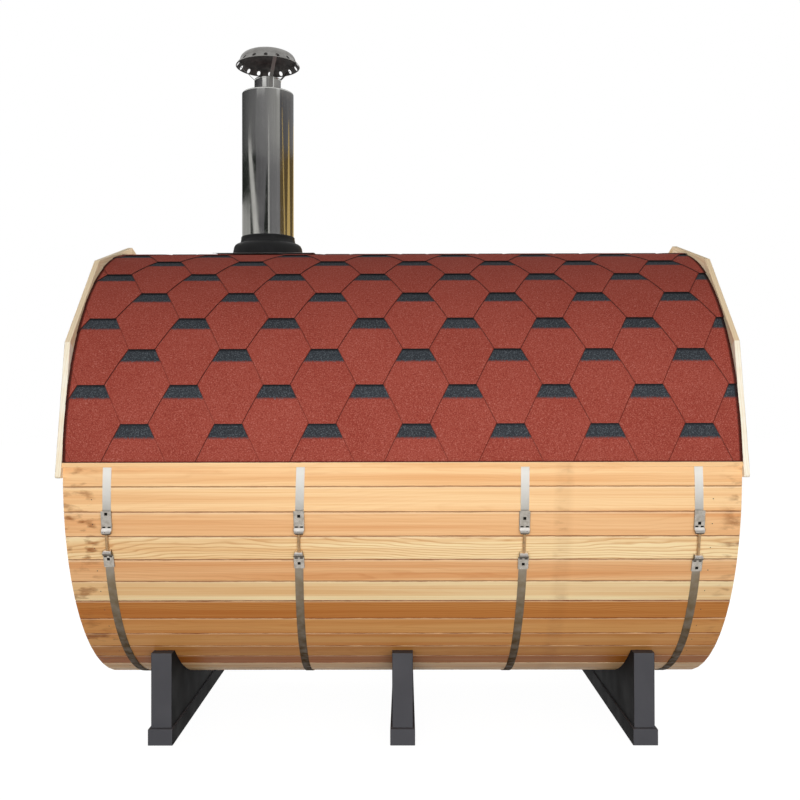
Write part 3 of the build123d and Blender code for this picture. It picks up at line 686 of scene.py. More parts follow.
def clamp_steel():
    # Pressed steel, zinc plated: brighter than the strip, with a painted highlight on faces that look up,
    # such as the rolled lips, and painted shade on the sides and undersides
    material, add = new_material("zinc plated steel pressed")
    place = add("TexCoord", output="Object")
    cloud = add("TexNoise", {"Vector": place, "Scale": 1 / CLAMP_PATCH, "Detail": 3.0})
    share = add("MapRange", [cloud, 0.35, 0.65, 0.0, 0.5])
    normal = add("NewGeometry", output="Normal")
    _, _, upward = add("SeparateXYZ", [normal], output=None).outputs
    # Painted highlight on faces that look up, and painted shade on faces that look down or along the barrel
    painted_lip_highlight = add("MapRange", [upward, 0.15, 0.6, 0.0, 0.9])
    painted_under_shade = add("MapRange", [upward, -0.45, -0.8, 0.0, 0.85])
    painted_side_shade = add("MapRange", [lengthwise(add), 0.5, 0.8, 0.0, 0.85])
    painted_clamp_shade = add("Math", [painted_under_shade, painted_side_shade], "MAXIMUM")
    colour = "#b9b3aa"
    for part, coat in ((share, "#857d72"), (painted_lip_highlight, "#f4efe9"), (painted_clamp_shade, "#3d352c")):
        colour = add("Mix", {0: part, 6: colour, 7: coat}, **MIXED)
    gloss = add("MapRange", [cloud, 0.3, 0.7, 0.24, 0.4])
    return finish(material, {"Base Color": colour, "Metallic": 1.0, "Roughness": gloss})


def hole_shade_steel():
    # The same steel in holes and slits, nearly black and dull: painted shade
    sockets = {"Roughness": 0.6, "Specular IOR Level": 0.1}
    return mottled("zinc plated steel in painted shade", HOLE_SHADE_PATCH, 2.0, EVENLY, ("#070706", "#1c1a17"), sockets)


def bolt_steel(colours):
    # Zinc-plated bolts with a yellow passivate: warm, bright and a little streaked
    sockets = {"Metallic": 1.0, "Roughness": 0.34}
    tones = (colours.bolt, "#8d7b63")
    return mottled("yellow zinc plated steel", BOLT_PATCH, 2.0, (0.35, 0.65, 0.0, 0.6), tones, sockets)


def stainless_steel(colours):
    # Bright-rolled stainless sheet: a near mirror, with faint rolling lines along the pipe and smudges
    material, add = new_material("stainless steel bright rolled")
    place = add("TexCoord", output="Object")
    drawn = add("VectorMath", [place, [1 / size for size in ROLLING_LINES]], "MULTIPLY")
    lines = add("TexNoise", {"Vector": drawn, "Scale": 1.0, "Detail": 3.0})
    smudge = add("TexNoise", {"Vector": place, "Scale": 1 / SMUDGE, "Detail": 4.0})
    share = add("MapRange", [lines, 0.35, 0.65, 0.0, 0.3])
    colour = add("Mix", {0: share, 6: colours.stainless, 7: "#a5a5a2"}, **MIXED)
    gloss = add("MapRange", [smudge, 0.35, 0.7, 0.06, 0.16])
    return finish(material, {"Base Color": colour, "Metallic": 1.0, "Roughness": gloss})


def cap_steel(colours):
    # Stainless sheet dulled by heat and weather: grey, with a broad soft shine
    name = "stainless steel heat dulled"
    tones = (colours.cap_steel, "#7c7a77")
    return mottled(name, CAP_PATCH, 4.0, (0.35, 0.7, 0.0, 0.6), tones, {"Metallic": 1.0}, gloss=(0.38, 0.55))


def soot_and_shade_steel():
    # The same sheet on its smoke side: brown-black soot, darkened further as painted shade, that takes the
    # shine away
    sockets = {"Metallic": 0.15, "Roughness": 0.6}
    tones = ("#2b2928", "#575350")
    return mottled("stainless steel sooted and shaded", SOOT_PATCH, 4.0, (0.4, 0.7, 0.0, 0.7), tones, sockets)


def boot_rubber(colours):
    # Moulded rubber: black, dull, with a dusty bloom in patches
    spread = (0.5, 0.75, 0.0, 0.5)
    tones = (colours.rubber, "#232325")
    sockets = {"Specular IOR Level": 0.25}
    return mottled("rubber moulded", RUBBER_PATCH, 4.0, spread, tones, sockets, (0.36, 0.6), RUBBER_RELIEF)


def shingle_felt(sizes, colours):
    # Bitumen felt faced with mineral granules: red tabs and a slate band above them, gritty and dull.
    # Granules are about 1 mm; they are drawn at 4 mm so that they show.
    material, add = new_material("bitumen felt with mineral granules")
    strip = add("UVMap", uv_map="strip")
    along, climb, _ = add("SeparateXYZ", [strip], output=None).outputs
    place = add("TexCoord", output="Object")
    course = add("Math", [climb], "FLOOR")
    rise = add("Math", [climb, course], "SUBTRACT")
    tab, offset = side_by_side(add, along, sizes.tab_spacing)
    tab_place = add("CombineXYZ", [tab, course, 0.0])
    luck = add("TexWhiteNoise", {"Vector": tab_place}, noise_dimensions="2D")
    grit = add("TexNoise", {"Vector": place, "Scale": 1 / GRANULE, "Detail": 2.0, "Roughness": 0.7})
    cloud = add("TexNoise", {"Vector": place, "Scale": 1 / WORN_PATCH, "Detail": 3.0})
    pale = add("MapRange", [grit, 0.52, 0.72, 0.0, 0.65])
    dark = add("MapRange", [grit, 0.48, 0.28, 0.0, 0.55])
    tone = add("MapRange", [luck, 0.0, 1.0, 0.0, 0.4])
    worn = add("MapRange", [cloud, 0.4, 0.7, 0.0, 0.3])
    red = colours.shingle_red
    for share, shade in ((tone, "#8e3c30"), (worn, "#a65043"), (pale, "#c98274"), (dark, "#64261f")):
        red = add("Mix", {0: share, 6: red, 7: shade}, **MIXED)
    slate = colours.slate
    for share, shade in ((tone, "#3e444a"), (pale, "#777e84"), (dark, "#26282c")):
        slate = add("Mix", {0: share, 6: slate, 7: shade}, **MIXED)
    lap = 2 * sizes.course_height
    ragged = add("Math", [grit, RAGGED_REACH, rise], "MULTIPLY_ADD")
    levels = [lap - sizes.slate_height + level for level in RAGGED_LEVELS]
    slate_share = add("MapRange", [ragged, *levels, 0.0, 1.0])
    colour = add("Mix", {0: slate_share, 6: red, 7: slate}, **MIXED)

    # Painted shadow under the lap of the next course
    painted_lap_shadow = add("MapRange", [rise, *(lap - reach for reach in LAP_SHADOW), 0.0, 0.75])

    # Painted shadow along the slanted cuts of a tab: a dark line, heavier on one side of the tab
    side = add("Math", [offset], "ABSOLUTE")
    slant = (sizes.tab_spacing / 2 - sizes.tab_foot) / sizes.course_height
    half = add("Math", [rise, slant, sizes.tab_foot / 2], "MULTIPLY_ADD")
    inside = add("Math", [half, side], "SUBTRACT")
    shadow_side_weight = add("MapRange", [offset, *TAB_MIDDLE, 0.45, 0.85])
    cut_shadow_share = add("MapRange", [inside, *CUT_LINE, 0.0, shadow_side_weight])
    on_tab = add("Math", [rise, sizes.course_height + SLOT_HIDDEN], "LESS_THAN")
    painted_cut_shadow = add("Math", [cut_shadow_share, on_tab], "MULTIPLY")

    # Painted shadow: a ragged dark line along the fascia and along the eave
    x, _, z = add("SeparateXYZ", [place], output=None).outputs
    endward = add("Math", [x], "ABSOLUTE")
    ragged_end = add("Math", [grit, RAGGED_END_REACH, endward], "MULTIPLY_ADD")
    end_share = add("MapRange", [ragged_end, ROOF_RIGHT - FASCIA_SHADOW_LINE, ROOF_RIGHT, 0.0, 0.85])
    eave = AXIS_HEIGHT + EAVE_LEVEL
    foot_share = add("MapRange", [z, *(eave + reach for reach in EAVE_SHADOW_LINE), 0.0, 0.8])
    edge_share = add("Math", [end_share, foot_share], "MAXIMUM")
    for share, shade in ((painted_lap_shadow, "#151517"), (painted_cut_shadow, "#471812"), (edge_share, "#24120f")):
        colour = add("Mix", {0: share, 6: colour, 7: shade}, **MIXED)
    bump = add("Bump", {"Strength": 0.5, "Distance": GRANULE_RELIEF, "Height": grit})
    sockets = {"Base Color": colour, "Roughness": 0.9, "Specular IOR Level": 0.1, "Normal": bump}
    return finish(material, sockets)


def bitumen_edge():
    # The cut edge of the felt: bare black bitumen
    tones = ("#1d1413", "#4a211c")
    return mottled("bitumen cut edge", BITUMEN_PATCH, 2.0, (0.4, 0.7, 0.0, 0.6), tones, {"Roughness": 0.7})


def iron_nail():
    # Small iron nails, blackened where the wood's acid has reached them
    sockets = {"Metallic": 0.6, "Roughness": 0.55}
    return mottled("iron nail blackened", IRON_PATCH, 2.0, EVENLY, ("#3a2a20", "#6a5a4e"), sockets)


def hinge_steel():
    # Steel under a baked black finish: even, dark, with a soft sheen
    sockets = {"Metallic": 0.7, "Roughness": 0.5}
    tones = ("#2b2b2d", "#3d3d40")
    return mottled("steel baked black", HINGE_PATCH, 3.0, EVENLY, tones, sockets, relief=HINGE_RELIEF)


def dress(material, nodes):
    """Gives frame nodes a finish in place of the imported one."""
    for name in nodes:
        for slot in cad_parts[name].material_slots:
            slot.material = material


def new_object(name, shape, materials):
    """Turns a bmesh into an object of the scene."""
    mesh = bpy.data.meshes.new(name)
    shape.to_mesh(mesh)
    shape.free()
    for material in materials:
        mesh.materials.append(material)
    thing = bpy.data.objects.new(name, mesh)
    bpy.context.scene.collection.objects.link(thing)
    return thing


def make_piece(name, shape, materials, replaced=(), smooth_angle=None):
    """Turns a bmesh into a piece of the sauna that rides on the frame."""
    piece = new_object(name, shape, materials)
    if smooth_angle is not None:
        piece.data.shade_smooth()
        piece.data.set_sharp_from_angle(angle=smooth_angle)
    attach(piece, BODY)
    if replaced:
        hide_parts(*replaced)
    return piece


def cut(shape, place, direction, clear=False):
    """Cuts a bmesh by a plane, and clears what lies beyond it if asked."""
    geometry = shape.verts[:] + shape.edges[:] + shape.faces[:]
    bmesh.ops.bisect_plane(
        shape, geom=geometry, dist=CUT_DISTANCE, plane_co=place, plane_no=direction, clear_outer=clear
    )


def join(shape, other):
    """Moves one bmesh into another."""
    mesh = bpy.data.meshes.new("joined")
    other.to_mesh(mesh)
    other.free()
    shape.from_mesh(mesh)
    bpy.data.meshes.remove(mesh)


def set_along(place, direction):
    """What moves a shape from the origin to a place and turns its Z to a direction."""
    return Matrix.Translation(place) @ direction.to_track_quat("Z", "X").to_matrix().to_4x4()


def add_head(shape, place, outward, radius, flatness):
    """A domed nail or screw head, sunk to half in the surface."""
    matrix = set_along(place, outward) @ Matrix.Diagonal((1, 1, flatness, 1))
    bmesh.ops.create_uvsphere(
        shape, u_segments=HEAD_SEGMENTS, v_segments=HEAD_RINGS, radius=radius, matrix=matrix
    )


def thicken(shape, thickness):
    """Gives a flat sheet at Z 0 its thickness, upwards."""
    bmesh.ops.solidify(shape, geom=shape.faces[:], thickness=thickness)
    foot = min(vert.co.z for vert in shape.verts)
    bmesh.ops.translate(shape, verts=shape.verts[:], vec=(0, 0, -foot))
    bmesh.ops.recalc_face_normals(shape, faces=shape.faces[:])


def mark_strip(shape, shift, course):
    """Writes each face's place on its strip to the UV map, and gives cut edges the second material."""
    strip = shape.loops.layers.uv.new("strip")
    for face in shape.faces:
        face.material_index = int(abs(face.normal.z) < 0.5)
        for loop in face.loops:
            loop[strip].uv = (loop.vert.co.x - shift, loop.vert.co.y + course)


def flat_strip(sizes, shift):
    """One strip of shingles laid flat: tabs along its foot and a plain head over them."""
    shape = bmesh.new()
    pitch = sizes.tab_spacing
    foot = sizes.tab_foot / 2
    slot_top = sizes.course_height + SLOT_HIDDEN
    wide = foot + slot_top * (pitch / 2 - 2 * foot) / sizes.course_height
    head = 2 * sizes.course_height + sizes.strip_lap
    tabs = math.ceil((ROOF_RIGHT - ROOF_LEFT) / pitch / 2) + 1
    places = [(-foot, 0), (foot, 0), (wide, slot_top), (-wide, slot_top)]
    places += [(pitch / 2, slot_top), (pitch / 2, head), (-pitch / 2, head), (-pitch / 2, slot_top)]
    for number in range(-tabs, tabs + 1):
        centre = shift + number * pitch
        verts = [shape.verts.new((centre + x, y, 0)) for x, y in places]
        left, right, inner_right, inner_left, *outer = verts
        shape.faces.new((left, right, inner_right, inner_left))
        shape.faces.new((inner_left, inner_right, *outer))
    bmesh.ops.remove_doubles(shape, verts=shape.verts[:], dist=MERGE_DISTANCE)
    cut(shape, (ROOF_LEFT, 0, 0), (-1, 0, 0), clear=True)
    cut(shape, (ROOF_RIGHT, 0, 0), (1, 0, 0), clear=True)
    return shape


def roof_half(sizes, side):
    """All the courses of one side, lapped from the eave to the ridge."""
    roof = bmesh.new()
    roof.loops.layers.uv.new("strip")
    thickness = sizes.shingle_thickness
    courses = math.ceil((RIDGE_ARC - sizes.first_course) / sizes.course_height)
    eave_arc = math.asin(EAVE_LEVEL / ROOF_RADIUS) * ROOF_RADIUS
    for course in range(-STARTER_COURSES, courses):
        level = sizes.first_course + course * sizes.course_height
        shift = sizes.tab_shift + (course % 2) * sizes.tab_spacing / 2
        shape = flat_strip(sizes, shift)
        cut(shape, (0, eave_arc - level, 0), (0, -1, 0), clear=True)
        cut(shape, (0, RIDGE_ARC - level, 0), (0, 1, 0), clear=True)
        head = max(vert.co.y for vert in shape.verts)
        for row in range(1, math.ceil(head / CURVE_STEP)):
            cut(shape, (0, row * CURVE_STEP, 0), (0, 1, 0))
        thicken(shape, thickness)
        mark_strip(shape, shift, course + STARTER_COURSES)
        for vert in shape.verts:
            x, rise, lift = vert.co
            angle = (level + rise) / ROOF_RADIUS
            lap = max(0, 1 - rise / (2 * sizes.course_height))
            radius = ROOF_SEAT + 2 * thickness * lap + lift
            vert.co = (x, side * radius * math.cos(angle), AXIS_HEIGHT + radius * math.sin(angle))
        if side == FAR_SIDE:
            bmesh.ops.reverse_faces(shape, faces=shape.faces[:])
        join(roof, shape)
    return roof


def outline(radius, height, points_mm):
    """Points of an outline from their offsets in millimetres, outward and up from a corner."""
    return [(radius + out * MM, height + up * MM) for out, up in points_mm]


def turned(profile, steps=FLUE_STEPS, closed=True, axis=FLUE_AXIS):
    """Spins a line of radii and heights one full turn about an upright axis."""
    shape = bmesh.new()
    verts = [shape.verts.new((axis.x + radius, 0, height)) for radius, height in profile]
    pairs = list(zip(verts, verts[1:]))
    if closed:
        pairs.append((verts[-1], verts[0]))
    line = verts + [shape.edges.new(pair) for pair in pairs]
    bmesh.ops.spin(shape, geom=line, cent=axis, axis=(0, 0, 1), angle=FULL_TURN, steps=steps, use_merge=True)
    bmesh.ops.remove_doubles(shape, verts=shape.verts[:], dist=MERGE_DISTANCE)
    bmesh.ops.recalc_face_normals(shape, faces=shape.faces[:])
    return shape


def sink(shape, across, levels):
    """Sinks a small rectangle of a bracket's front and gives it the dark material of painted shade."""
    for place in across:
        cut(shape, (place, 0, 0), (1, 0, 0))
    for level in levels:
        cut(shape, (0, level, 0), (0, 1, 0))
    sunk = []
    for face in shape.faces:
        x, y, _ = face.calc_center_median()
        if face.normal.z > 0.5 and across[0] < x < across[1] and levels[0] < y < levels[1]:
            sunk.append(face)
    rim = bmesh.ops.inset_region(shape, faces=sunk, thickness=CLAMP_RIM, depth=-CLAMP_SINK)
    for face in sunk + rim["faces"]:
        face.material_index = 1


def clamp_bracket(plate, hole_share):
    """A pressed bracket: a flat plate on the band that rises to a rolled lip at the bolt's end."""
    shape = bmesh.new()
    line = [(plate, 0), (plate, CLAMP_EDGE), *outline(0, 0, CLAMP_LIP_MM)]
    line.append((line[-1][0], 0))
    side = shape.faces.new([shape.verts.new((-CLAMP_WIDTH / 2, y, z)) for y, z in line])
    made = bmesh.ops.extrude_face_region(shape, geom=[side])
    moved = [item for item in made["geom"] if isinstance(item, bmesh.types.BMVert)]
    bmesh.ops.translate(shape, verts=moved, vec=(CLAMP_WIDTH, 0, 0))
    bmesh.ops.recalc_face_normals(shape, faces=shape.faces[:])
    rims = [edge for edge in shape.edges if abs(edge.verts[0].co.x - edge.verts[1].co.x) < CLAMP_RIM]
    bmesh.ops.bevel(
        shape, geom=rims, offset=CLAMP_ROUNDING, segments=CLAMP_ROUNDING_STEPS, profile=0.5,
        affect="EDGES", material=-1
    )
    for vert in shape.verts:
        vert.co.x *= 1 - CLAMP_TAPER * max(0, CLAMP_TAPER_START - vert.co.y)
    for end in (-1, 1):
        sink(shape, sorted(end * reach for reach in SLIT_REACH), SLIT_LEVELS)
    level = hole_share * plate
    half = HOLE_WIDTH / 2
    sink(shape, (-half, half), (level - half, level + half))
    return shape


def outward_at(arc):
    """The direction off a band at an arc below the axis level."""
    angle = arc / BAND_RADIUS
    return Vector((0, -math.cos(angle), -math.sin(angle)))


def set_bracket(shape, place, arc, downward):
    """Lays a bracket on a place of a band, at an arc below the axis level, turned down if asked."""
    if downward:
        bmesh.ops.rotate(shape, verts=shape.verts[:], matrix=Matrix.Rotation(math.pi, 3, "Z"))
    outward = outward_at(arc)
    turn = Matrix((RIGHT, outward.cross(RIGHT), outward)).transposed().to_4x4()
    bmesh.ops.transform(shape, verts=shape.verts[:], matrix=Matrix.Translation(place) @ turn)


def arc_below(level):
    """The arc on a band from the axis level down to a height."""
    return BAND_RADIUS * math.asin((AXIS_HEIGHT - level) / BAND_RADIUS)


def on_band(number, arc, stand):
    """The place over a leaning band at an arc below the axis level."""
    outward = outward_at(arc)
    lean = math.tan(math.radians(BAND_LEANS[number]))
    place = Vector((middle(BAND_NODES[number], 0), 0, AXIS_HEIGHT))
    place.x += BAND_RADIUS * outward.z * lean
    return place + outward * (BAND_RADIUS + stand)


def clamp_arcs(number):
    """Where the plates of the upper and the lower bracket of a band end in their lips."""
    low, high = span(CLAMP_NODES[number], 2)
    return arc_below(high) + UPPER_PLATE - LIP_REACH, arc_below(low) - LOWER_PLATE


def band_clamp(number):
    """Both brackets of one band's clamp."""
    upper = clamp_bracket(UPPER_PLATE, UPPER_HOLE_SHARES[number])
    lower = clamp_bracket(LOWER_PLATE, LOWER_HOLE_SHARES[number])
    clamp = bmesh.new()
    for bracket, arc in zip((upper, lower), clamp_arcs(number)):
        set_bracket(bracket, on_band(number, arc, 0), arc, bracket is lower)
        join(clamp, bracket)
    return clamp


def clamp_rod(number):
    """The threaded rod that draws one band's brackets together."""
    upper, lower = clamp_arcs(number)
    start = on_band(number, upper + ROD_START, ROD_STAND)
    reach = on_band(number, lower - ROD_START, ROD_STAND) - start
    core = ROD_RADIUS - THREAD_DEPTH
    line = [(0, 0)]
    for turn in range(math.floor(reach.length / THREAD_PITCH)):
        line.append((core, turn * THREAD_PITCH))
        line.append((ROD_RADIUS, (turn + 0.5) * THREAD_PITCH))
    line += [(core, reach.length), (0, reach.length)]
    shape = turned(line, ROD_STEPS, closed=False, axis=Vector())
    bmesh.ops.transform(shape, verts=shape.verts[:], matrix=set_along(start, reach))
    return shape


class SAUNA_OT_staves(bpy.types.Operator):
    """Gives the staves and the eave battens their planed cedar"""

    bl_idname = "sauna.staves"
    bl_label = "Staves"

    def execute(self, context):
        dress(stave_wood(), STAVE_NODES + ["eave_batten_near", "eave_batten_far"])
        return {"FINISHED"}


class SAUNA_OT_end_walls(bpy.types.Operator):
    """Gives both end walls, the door and its frame their upright boards"""

    bl_idname = "sauna.end_walls"
    bl_label = "End walls and door"

    def execute(self, context):
        dress(wall_wood(), WALL_NODES + ["door_frame", "door_leaf", "door_ledges"])
        dress(hinge_steel(), ["door_hinges"])
        return {"FINISHED"}


class SAUNA_OT_fascia(bpy.types.Operator):
    """Gives the fascia boards and the door handle their bare pine"""

    bl_idname = "sauna.fascia"
    bl_label = "Fascia boards"

    def execute(self, context):
        dress(fascia_wood(), ["fascia_right_end", "fascia_left_end", "door_handle"])
        return {"FINISHED"}


class SAUNA_OT_cradles(bpy.types.Operator):
    """Paints the cradles and sills"""

    bl_idname = "sauna.cradles"
    bl_label = "Cradles and sills"

    def execute(self, context):
        dress(cradle_paint(context.scene.sauna_colours), CRADLE_NODES)
        return {"FINISHED"}


class SAUNA_OT_bands(bpy.types.Operator):
    """Gives the bands their zinc, and makes the clamps' pressed brackets and threaded rods"""

    bl_idname = "sauna.bands"
    bl_label = "Bands and clamps"

    def execute(self, context):
        colours = context.scene.sauna_colours
        dress(zinc_steel(colours), BAND_NODES)
        steel = [clamp_steel(), hole_shade_steel()]
        rods = bmesh.new()
        for number, node in enumerate(CLAMP_NODES):
            name = f"clamp_brackets_{number + 1}"
            make_piece(name, band_clamp(number), steel, [node], SMOOTH_ANGLE)
            join(rods, clamp_rod(number))
        make_piece("clamp_rods", rods, [bolt_steel(colours)], ["tension_bolts"])
        return {"FINISHED"}


class SAUNA_OT_nails(bpy.types.Operator):
    """Nails the staves to both end walls and the fascia boards to the staves"""

    bl_idname = "sauna.nails"
    bl_label = "Nails"

    def execute(self, context):
        radius = context.scene.sauna_sizes.nail_radius
        iron = iron_nail()
        stave_nails = bmesh.new()
        for number in range(STAVE_COUNT):
            outward = Vector((0, -math.cos(number * STAVE_STEP), math.sin(number * STAVE_STEP)))
            if outward.z * STAVE_FACE > EAVE_LEVEL - STAVE_PITCH / 2:
                continue
            for wall in ("rear_wall", "door_wall_near"):
                place = outward * STAVE_FACE + Vector((middle(wall, 0), 0, AXIS_HEIGHT))
                add_head(stave_nails, place, outward, radius, DOMED)
        make_piece("stave_nails", stave_nails, [iron], smooth_angle=SMOOTH_ANGLE)
        fascia_nails = bmesh.new()
        mitres = [FASCIA_STEP * number for number in range(FASCIA_BOARDS + 1)]
        angles = [mitre + FASCIA_NAIL_TURN for mitre in mitres[:-1]]
        angles += [mitre - FASCIA_NAIL_TURN for mitre in mitres[1:]]
        for node, end in (("fascia_left_end", -1), ("fascia_right_end", 1)):
            face = end * max(abs(place) for place in span(node, 0))
            for angle in angles:
                reach = FASCIA_NAIL_RADIUS * math.cos(angle)
                rise = FASCIA_NAIL_RADIUS * math.sin(angle)
                add_head(fascia_nails, Vector((face, reach, AXIS_HEIGHT + rise)), RIGHT * end, radius, FLUSH)
        make_piece("fascia_nails", fascia_nails, [iron], smooth_angle=SMOOTH_ANGLE)
        return {"FINISHED"}


class SAUNA_OT_screws(bpy.types.Operator):
    """Screws the hinges to the door and its frame"""

    bl_idname = "sauna.screws"
    bl_label = "Hinge screws"

    def execute(self, context):
        radius = context.scene.sauna_sizes.screw_radius
        face = span("door_hinges", 0)[0] + HINGE_SHEET
        pin = span("door_hinges", 1)[1] - HINGE_PLATE
        low, high = span("door_hinges", 2)
        places = [(along, 0) for along in STRAP_SCREW_PLACES]
        places += [(PLATE_SCREW_PLACE, rise) for rise in PLATE_SCREW_RISES]
        screws = bmesh.new()
        for level in (low + HINGE_PLATE_HALF, high - HINGE_PLATE_HALF):
            for along, rise in places:
                add_head(screws, Vector((face, pin + along, level + rise)), RIGHT, radius, DOMED)
        steel = bolt_steel(context.scene.sauna_colours)
        make_piece("hinge_screws", screws, [steel], smooth_angle=SMOOTH_ANGLE)
        return {"FINISHED"}


class SAUNA_OT_shingles(bpy.types.Operator):
    """Lays lapped courses of hexagonal shingles over both sides of the roof"""

    bl_idname = "sauna.shingles"
    bl_label = "Roof shingles"

    def execute(self, context):
        sizes = context.scene.sauna_sizes
        materials = [shingle_felt(sizes, context.scene.sauna_colours), bitumen_edge()]
        for name, side in (("near", NEAR_SIDE), ("far", FAR_SIDE)):
            node = "roof_shingles_" + name
            make_piece("shingle_courses_" + name, roof_half(sizes, side), materials, [node])
        return {"FINISHED"}


class SAUNA_OT_flue_pipes(bpy.types.Operator):
    """Turns the flue's outer pipe with its lid and the inner pipe"""

    bl_idname = "sauna.flue_pipes"
    bl_label = "Flue pipes"

    def execute(self, context):
        colours = context.scene.sauna_colours
        steel = stainless_steel(colours)
        profile = [
            (FLUE_RADIUS, FLUE_FOOT),
            *outline(FLUE_RADIUS, FLUE_TOP, PIPE_RIM_MM),
            *outline(NECK_RADIUS, FLUE_TOP, LID_BORE_MM),
            *outline(FLUE_RADIUS, FLUE_TOP, PIPE_UNDER_MM),
            (FLUE_RADIUS - PIPE_SHEET, FLUE_FOOT),
        ]
        shape = turned(profile)
        # The top of the rim takes the darker dulled steel: painted shade in place of the bright reflection
        # it would show
        for face in shape.faces:
            face.material_index = int(face.calc_center_median().z > FLUE_TOP - RIM_DEPTH)
        steels = [steel, cap_steel(colours)]
        make_piece("outer_pipe", shape, steels, ["flue_outer_pipe"], SMOOTH_ANGLE)
        profile = [
            (NECK_RADIUS, NECK_FOOT),
            *outline(NECK_RADIUS, NECK_TOP, NECK_RIM_MM),
            (NECK_RADIUS - NECK_SHEET, NECK_FOOT),
        ]
        make_piece("inner_pipe", turned(profile), [steel], ["flue_inner_pipe"], SMOOTH_ANGLE)
        return {"FINISHED"}


class SAUNA_OT_flue_cap(bpy.types.Operator):
    """Spins the flue's cap with its ring of holes"""

    bl_idname = "sauna.flue_cap"
    bl_label = "Flue cap"

    def execute(self, context):
        flare = BRIM_LEVEL + BRIM_HEIGHT
        flange = BRIM_RADIUS - CAP_RADIUS
        profile = outline(0, CAP_TOP, CAP_DOME_MM)
        profile += [(CAP_RADIUS + flange * share, flare - BRIM_HEIGHT * share) for share in BRIM_SHARES]
        steps = HOLE_STEPS * BRIM_HOLES
        shape = turned(profile, steps, closed=False)
        holes = []
        for face in shape.faces:
            centre = face.calc_center_median()
            turn = math.atan2(centre.y, centre.x - FLUE_X) * steps / FULL_TURN
            share = (flare - centre.z) / BRIM_HEIGHT
            if HOLE_SHARES[0] < share < HOLE_SHARES[1] and math.floor(turn) % HOLE_STEPS == 0:
                holes.append(face)
        bmesh.ops.delete(shape, geom=holes, context="FACES")
        materials = [cap_steel(context.scene.sauna_colours), soot_and_shade_steel()]
        dress(materials[0], ["cap_supports"])
        piece = make_piece("flue_cap_dome", shape, materials, ["flue_cap"], math.pi)
        rounding = piece.modifiers.new("rounding", "SUBSURF")
        rounding.levels = CAP_ROUNDING
        rounding.render_levels = CAP_ROUNDING
        sheet = piece.modifiers.new("sheet", "SOLIDIFY")
        sheet.thickness = CAP_SHEET
        sheet.offset = -1
        sheet.material_offset = 1
        return {"FINISHED"}


class SAUNA_OT_flue_boot(bpy.types.Operator):
    """Turns the rubber boot and settles its foot on the curved roof"""

    bl_idname = "sauna.flue_boot"
    bl_label = "Flue boot"

    def execute(self, context):
        bore = FLUE_RADIUS + SEAT
        shoulder = BOOT_TOP - BOOT_COLLAR
        foot = AXIS_HEIGHT + FLASHING_RADIUS - BOOT_SINK
        profile = [
            *outline(bore, BOOT_TOP, BOOT_COLLAR_MM),
            *outline(bore, shoulder, BOOT_SKIRT_MM),
            *outline(BOOT_RADIUS, shoulder, BOOT_FOOT_MM),
            (BOOT_RADIUS, foot),
            (bore, foot),
        ]
        shape = turned(profile)
        for vert in shape.verts:
            if vert.co.z < foot + SEAT:
                vert.co.z = AXIS_HEIGHT + math.sqrt(FLASHING_RADIUS ** 2 - vert.co.y ** 2) + SEAT
        rubber = boot_rubber(context.scene.sauna_colours)
        make_piece("rubber_boot", shape, [rubber], ["flue_boot"], SMOOTH_ANGLE)
        return {"FINISHED"}


class SAUNA_OT_flashing(bpy.types.Operator):
    """Presses the sheet under the boot, with its rim turned down to the shingles"""

    bl_idname = "sauna.flashing"
    bl_label = "Flue flashing"

    def execute(self, context):
        left, right = span("flue_flashing", 0)
        near, far = span("flue_flashing", 1)
        shape = bmesh.new()
        size = Matrix.Diagonal((right - left, far - near, 1, 1))
        matrix = Matrix.Translation(FLUE_AXIS) @ size
        bmesh.ops.create_grid(shape, x_segments=1, y_segments=1, size=UNIT_HALF, matrix=matrix)
        bmesh.ops.inset_region(shape, faces=shape.faces[:], thickness=FLASHING_RIM, depth=FLASHING_LIFT)
        rows = math.ceil((far - near) / CURVE_STEP)
        for row in range(1, rows):
            cut(shape, (0, near + (far - near) * row / rows, 0), (0, 1, 0))
        bmesh.ops.recalc_face_normals(shape, faces=shape.faces[:])
        bmesh.ops.solidify(shape, geom=shape.faces[:], thickness=FLASHING_SHEET)
        for vert in shape.verts:
            x, reach, lift = vert.co
            radius = FLASHING_RADIUS + lift
            angle = reach / FLASHING_RADIUS
            vert.co = (x, radius * math.sin(angle), AXIS_HEIGHT + radius * math.cos(angle))
        steel = cap_steel(context.scene.sauna_colours)
        make_piece("flashing_sheet", shape, [steel], ["flue_flashing"], SMOOTH_ANGLE)
        return {"FINISHED"}


class SAUNA_OT_stage(bpy.types.Operator):
    """Sets the pale floor, the glowing cards that paint the flue's reflections, soft studio light, a white
    background and the camera
    """

    bl_idname = "sauna.stage"
    bl_label = "Stage"

    def execute(self, context):
        set_floor()
        set_cards()
        set_world(context)
        set_lamps(context)
        set_camera(context)
        context.scene.view_settings.view_transform = "Standard"
        return {"FINISHED"}


def empty_tree(owner):
    """Clears the nodes of a stage material or of the world, and gives what adds nodes there."""
    owner.use_nodes = True
    owner.node_tree.nodes.clear()
    return partial(add_node, owner.node_tree)


def seen_ray(add):
    """1 for rays from the camera, in mirrors or through glass, and 0 for rays that carry light."""
    path = add("LightPath", output=None).outputs
    seen = add("Math", [path["Is Camera Ray"], path["Is Glossy Ray"]], "MAXIMUM")
    return add("Math", [seen, path["Is Transmission Ray"]], "MAXIMUM")


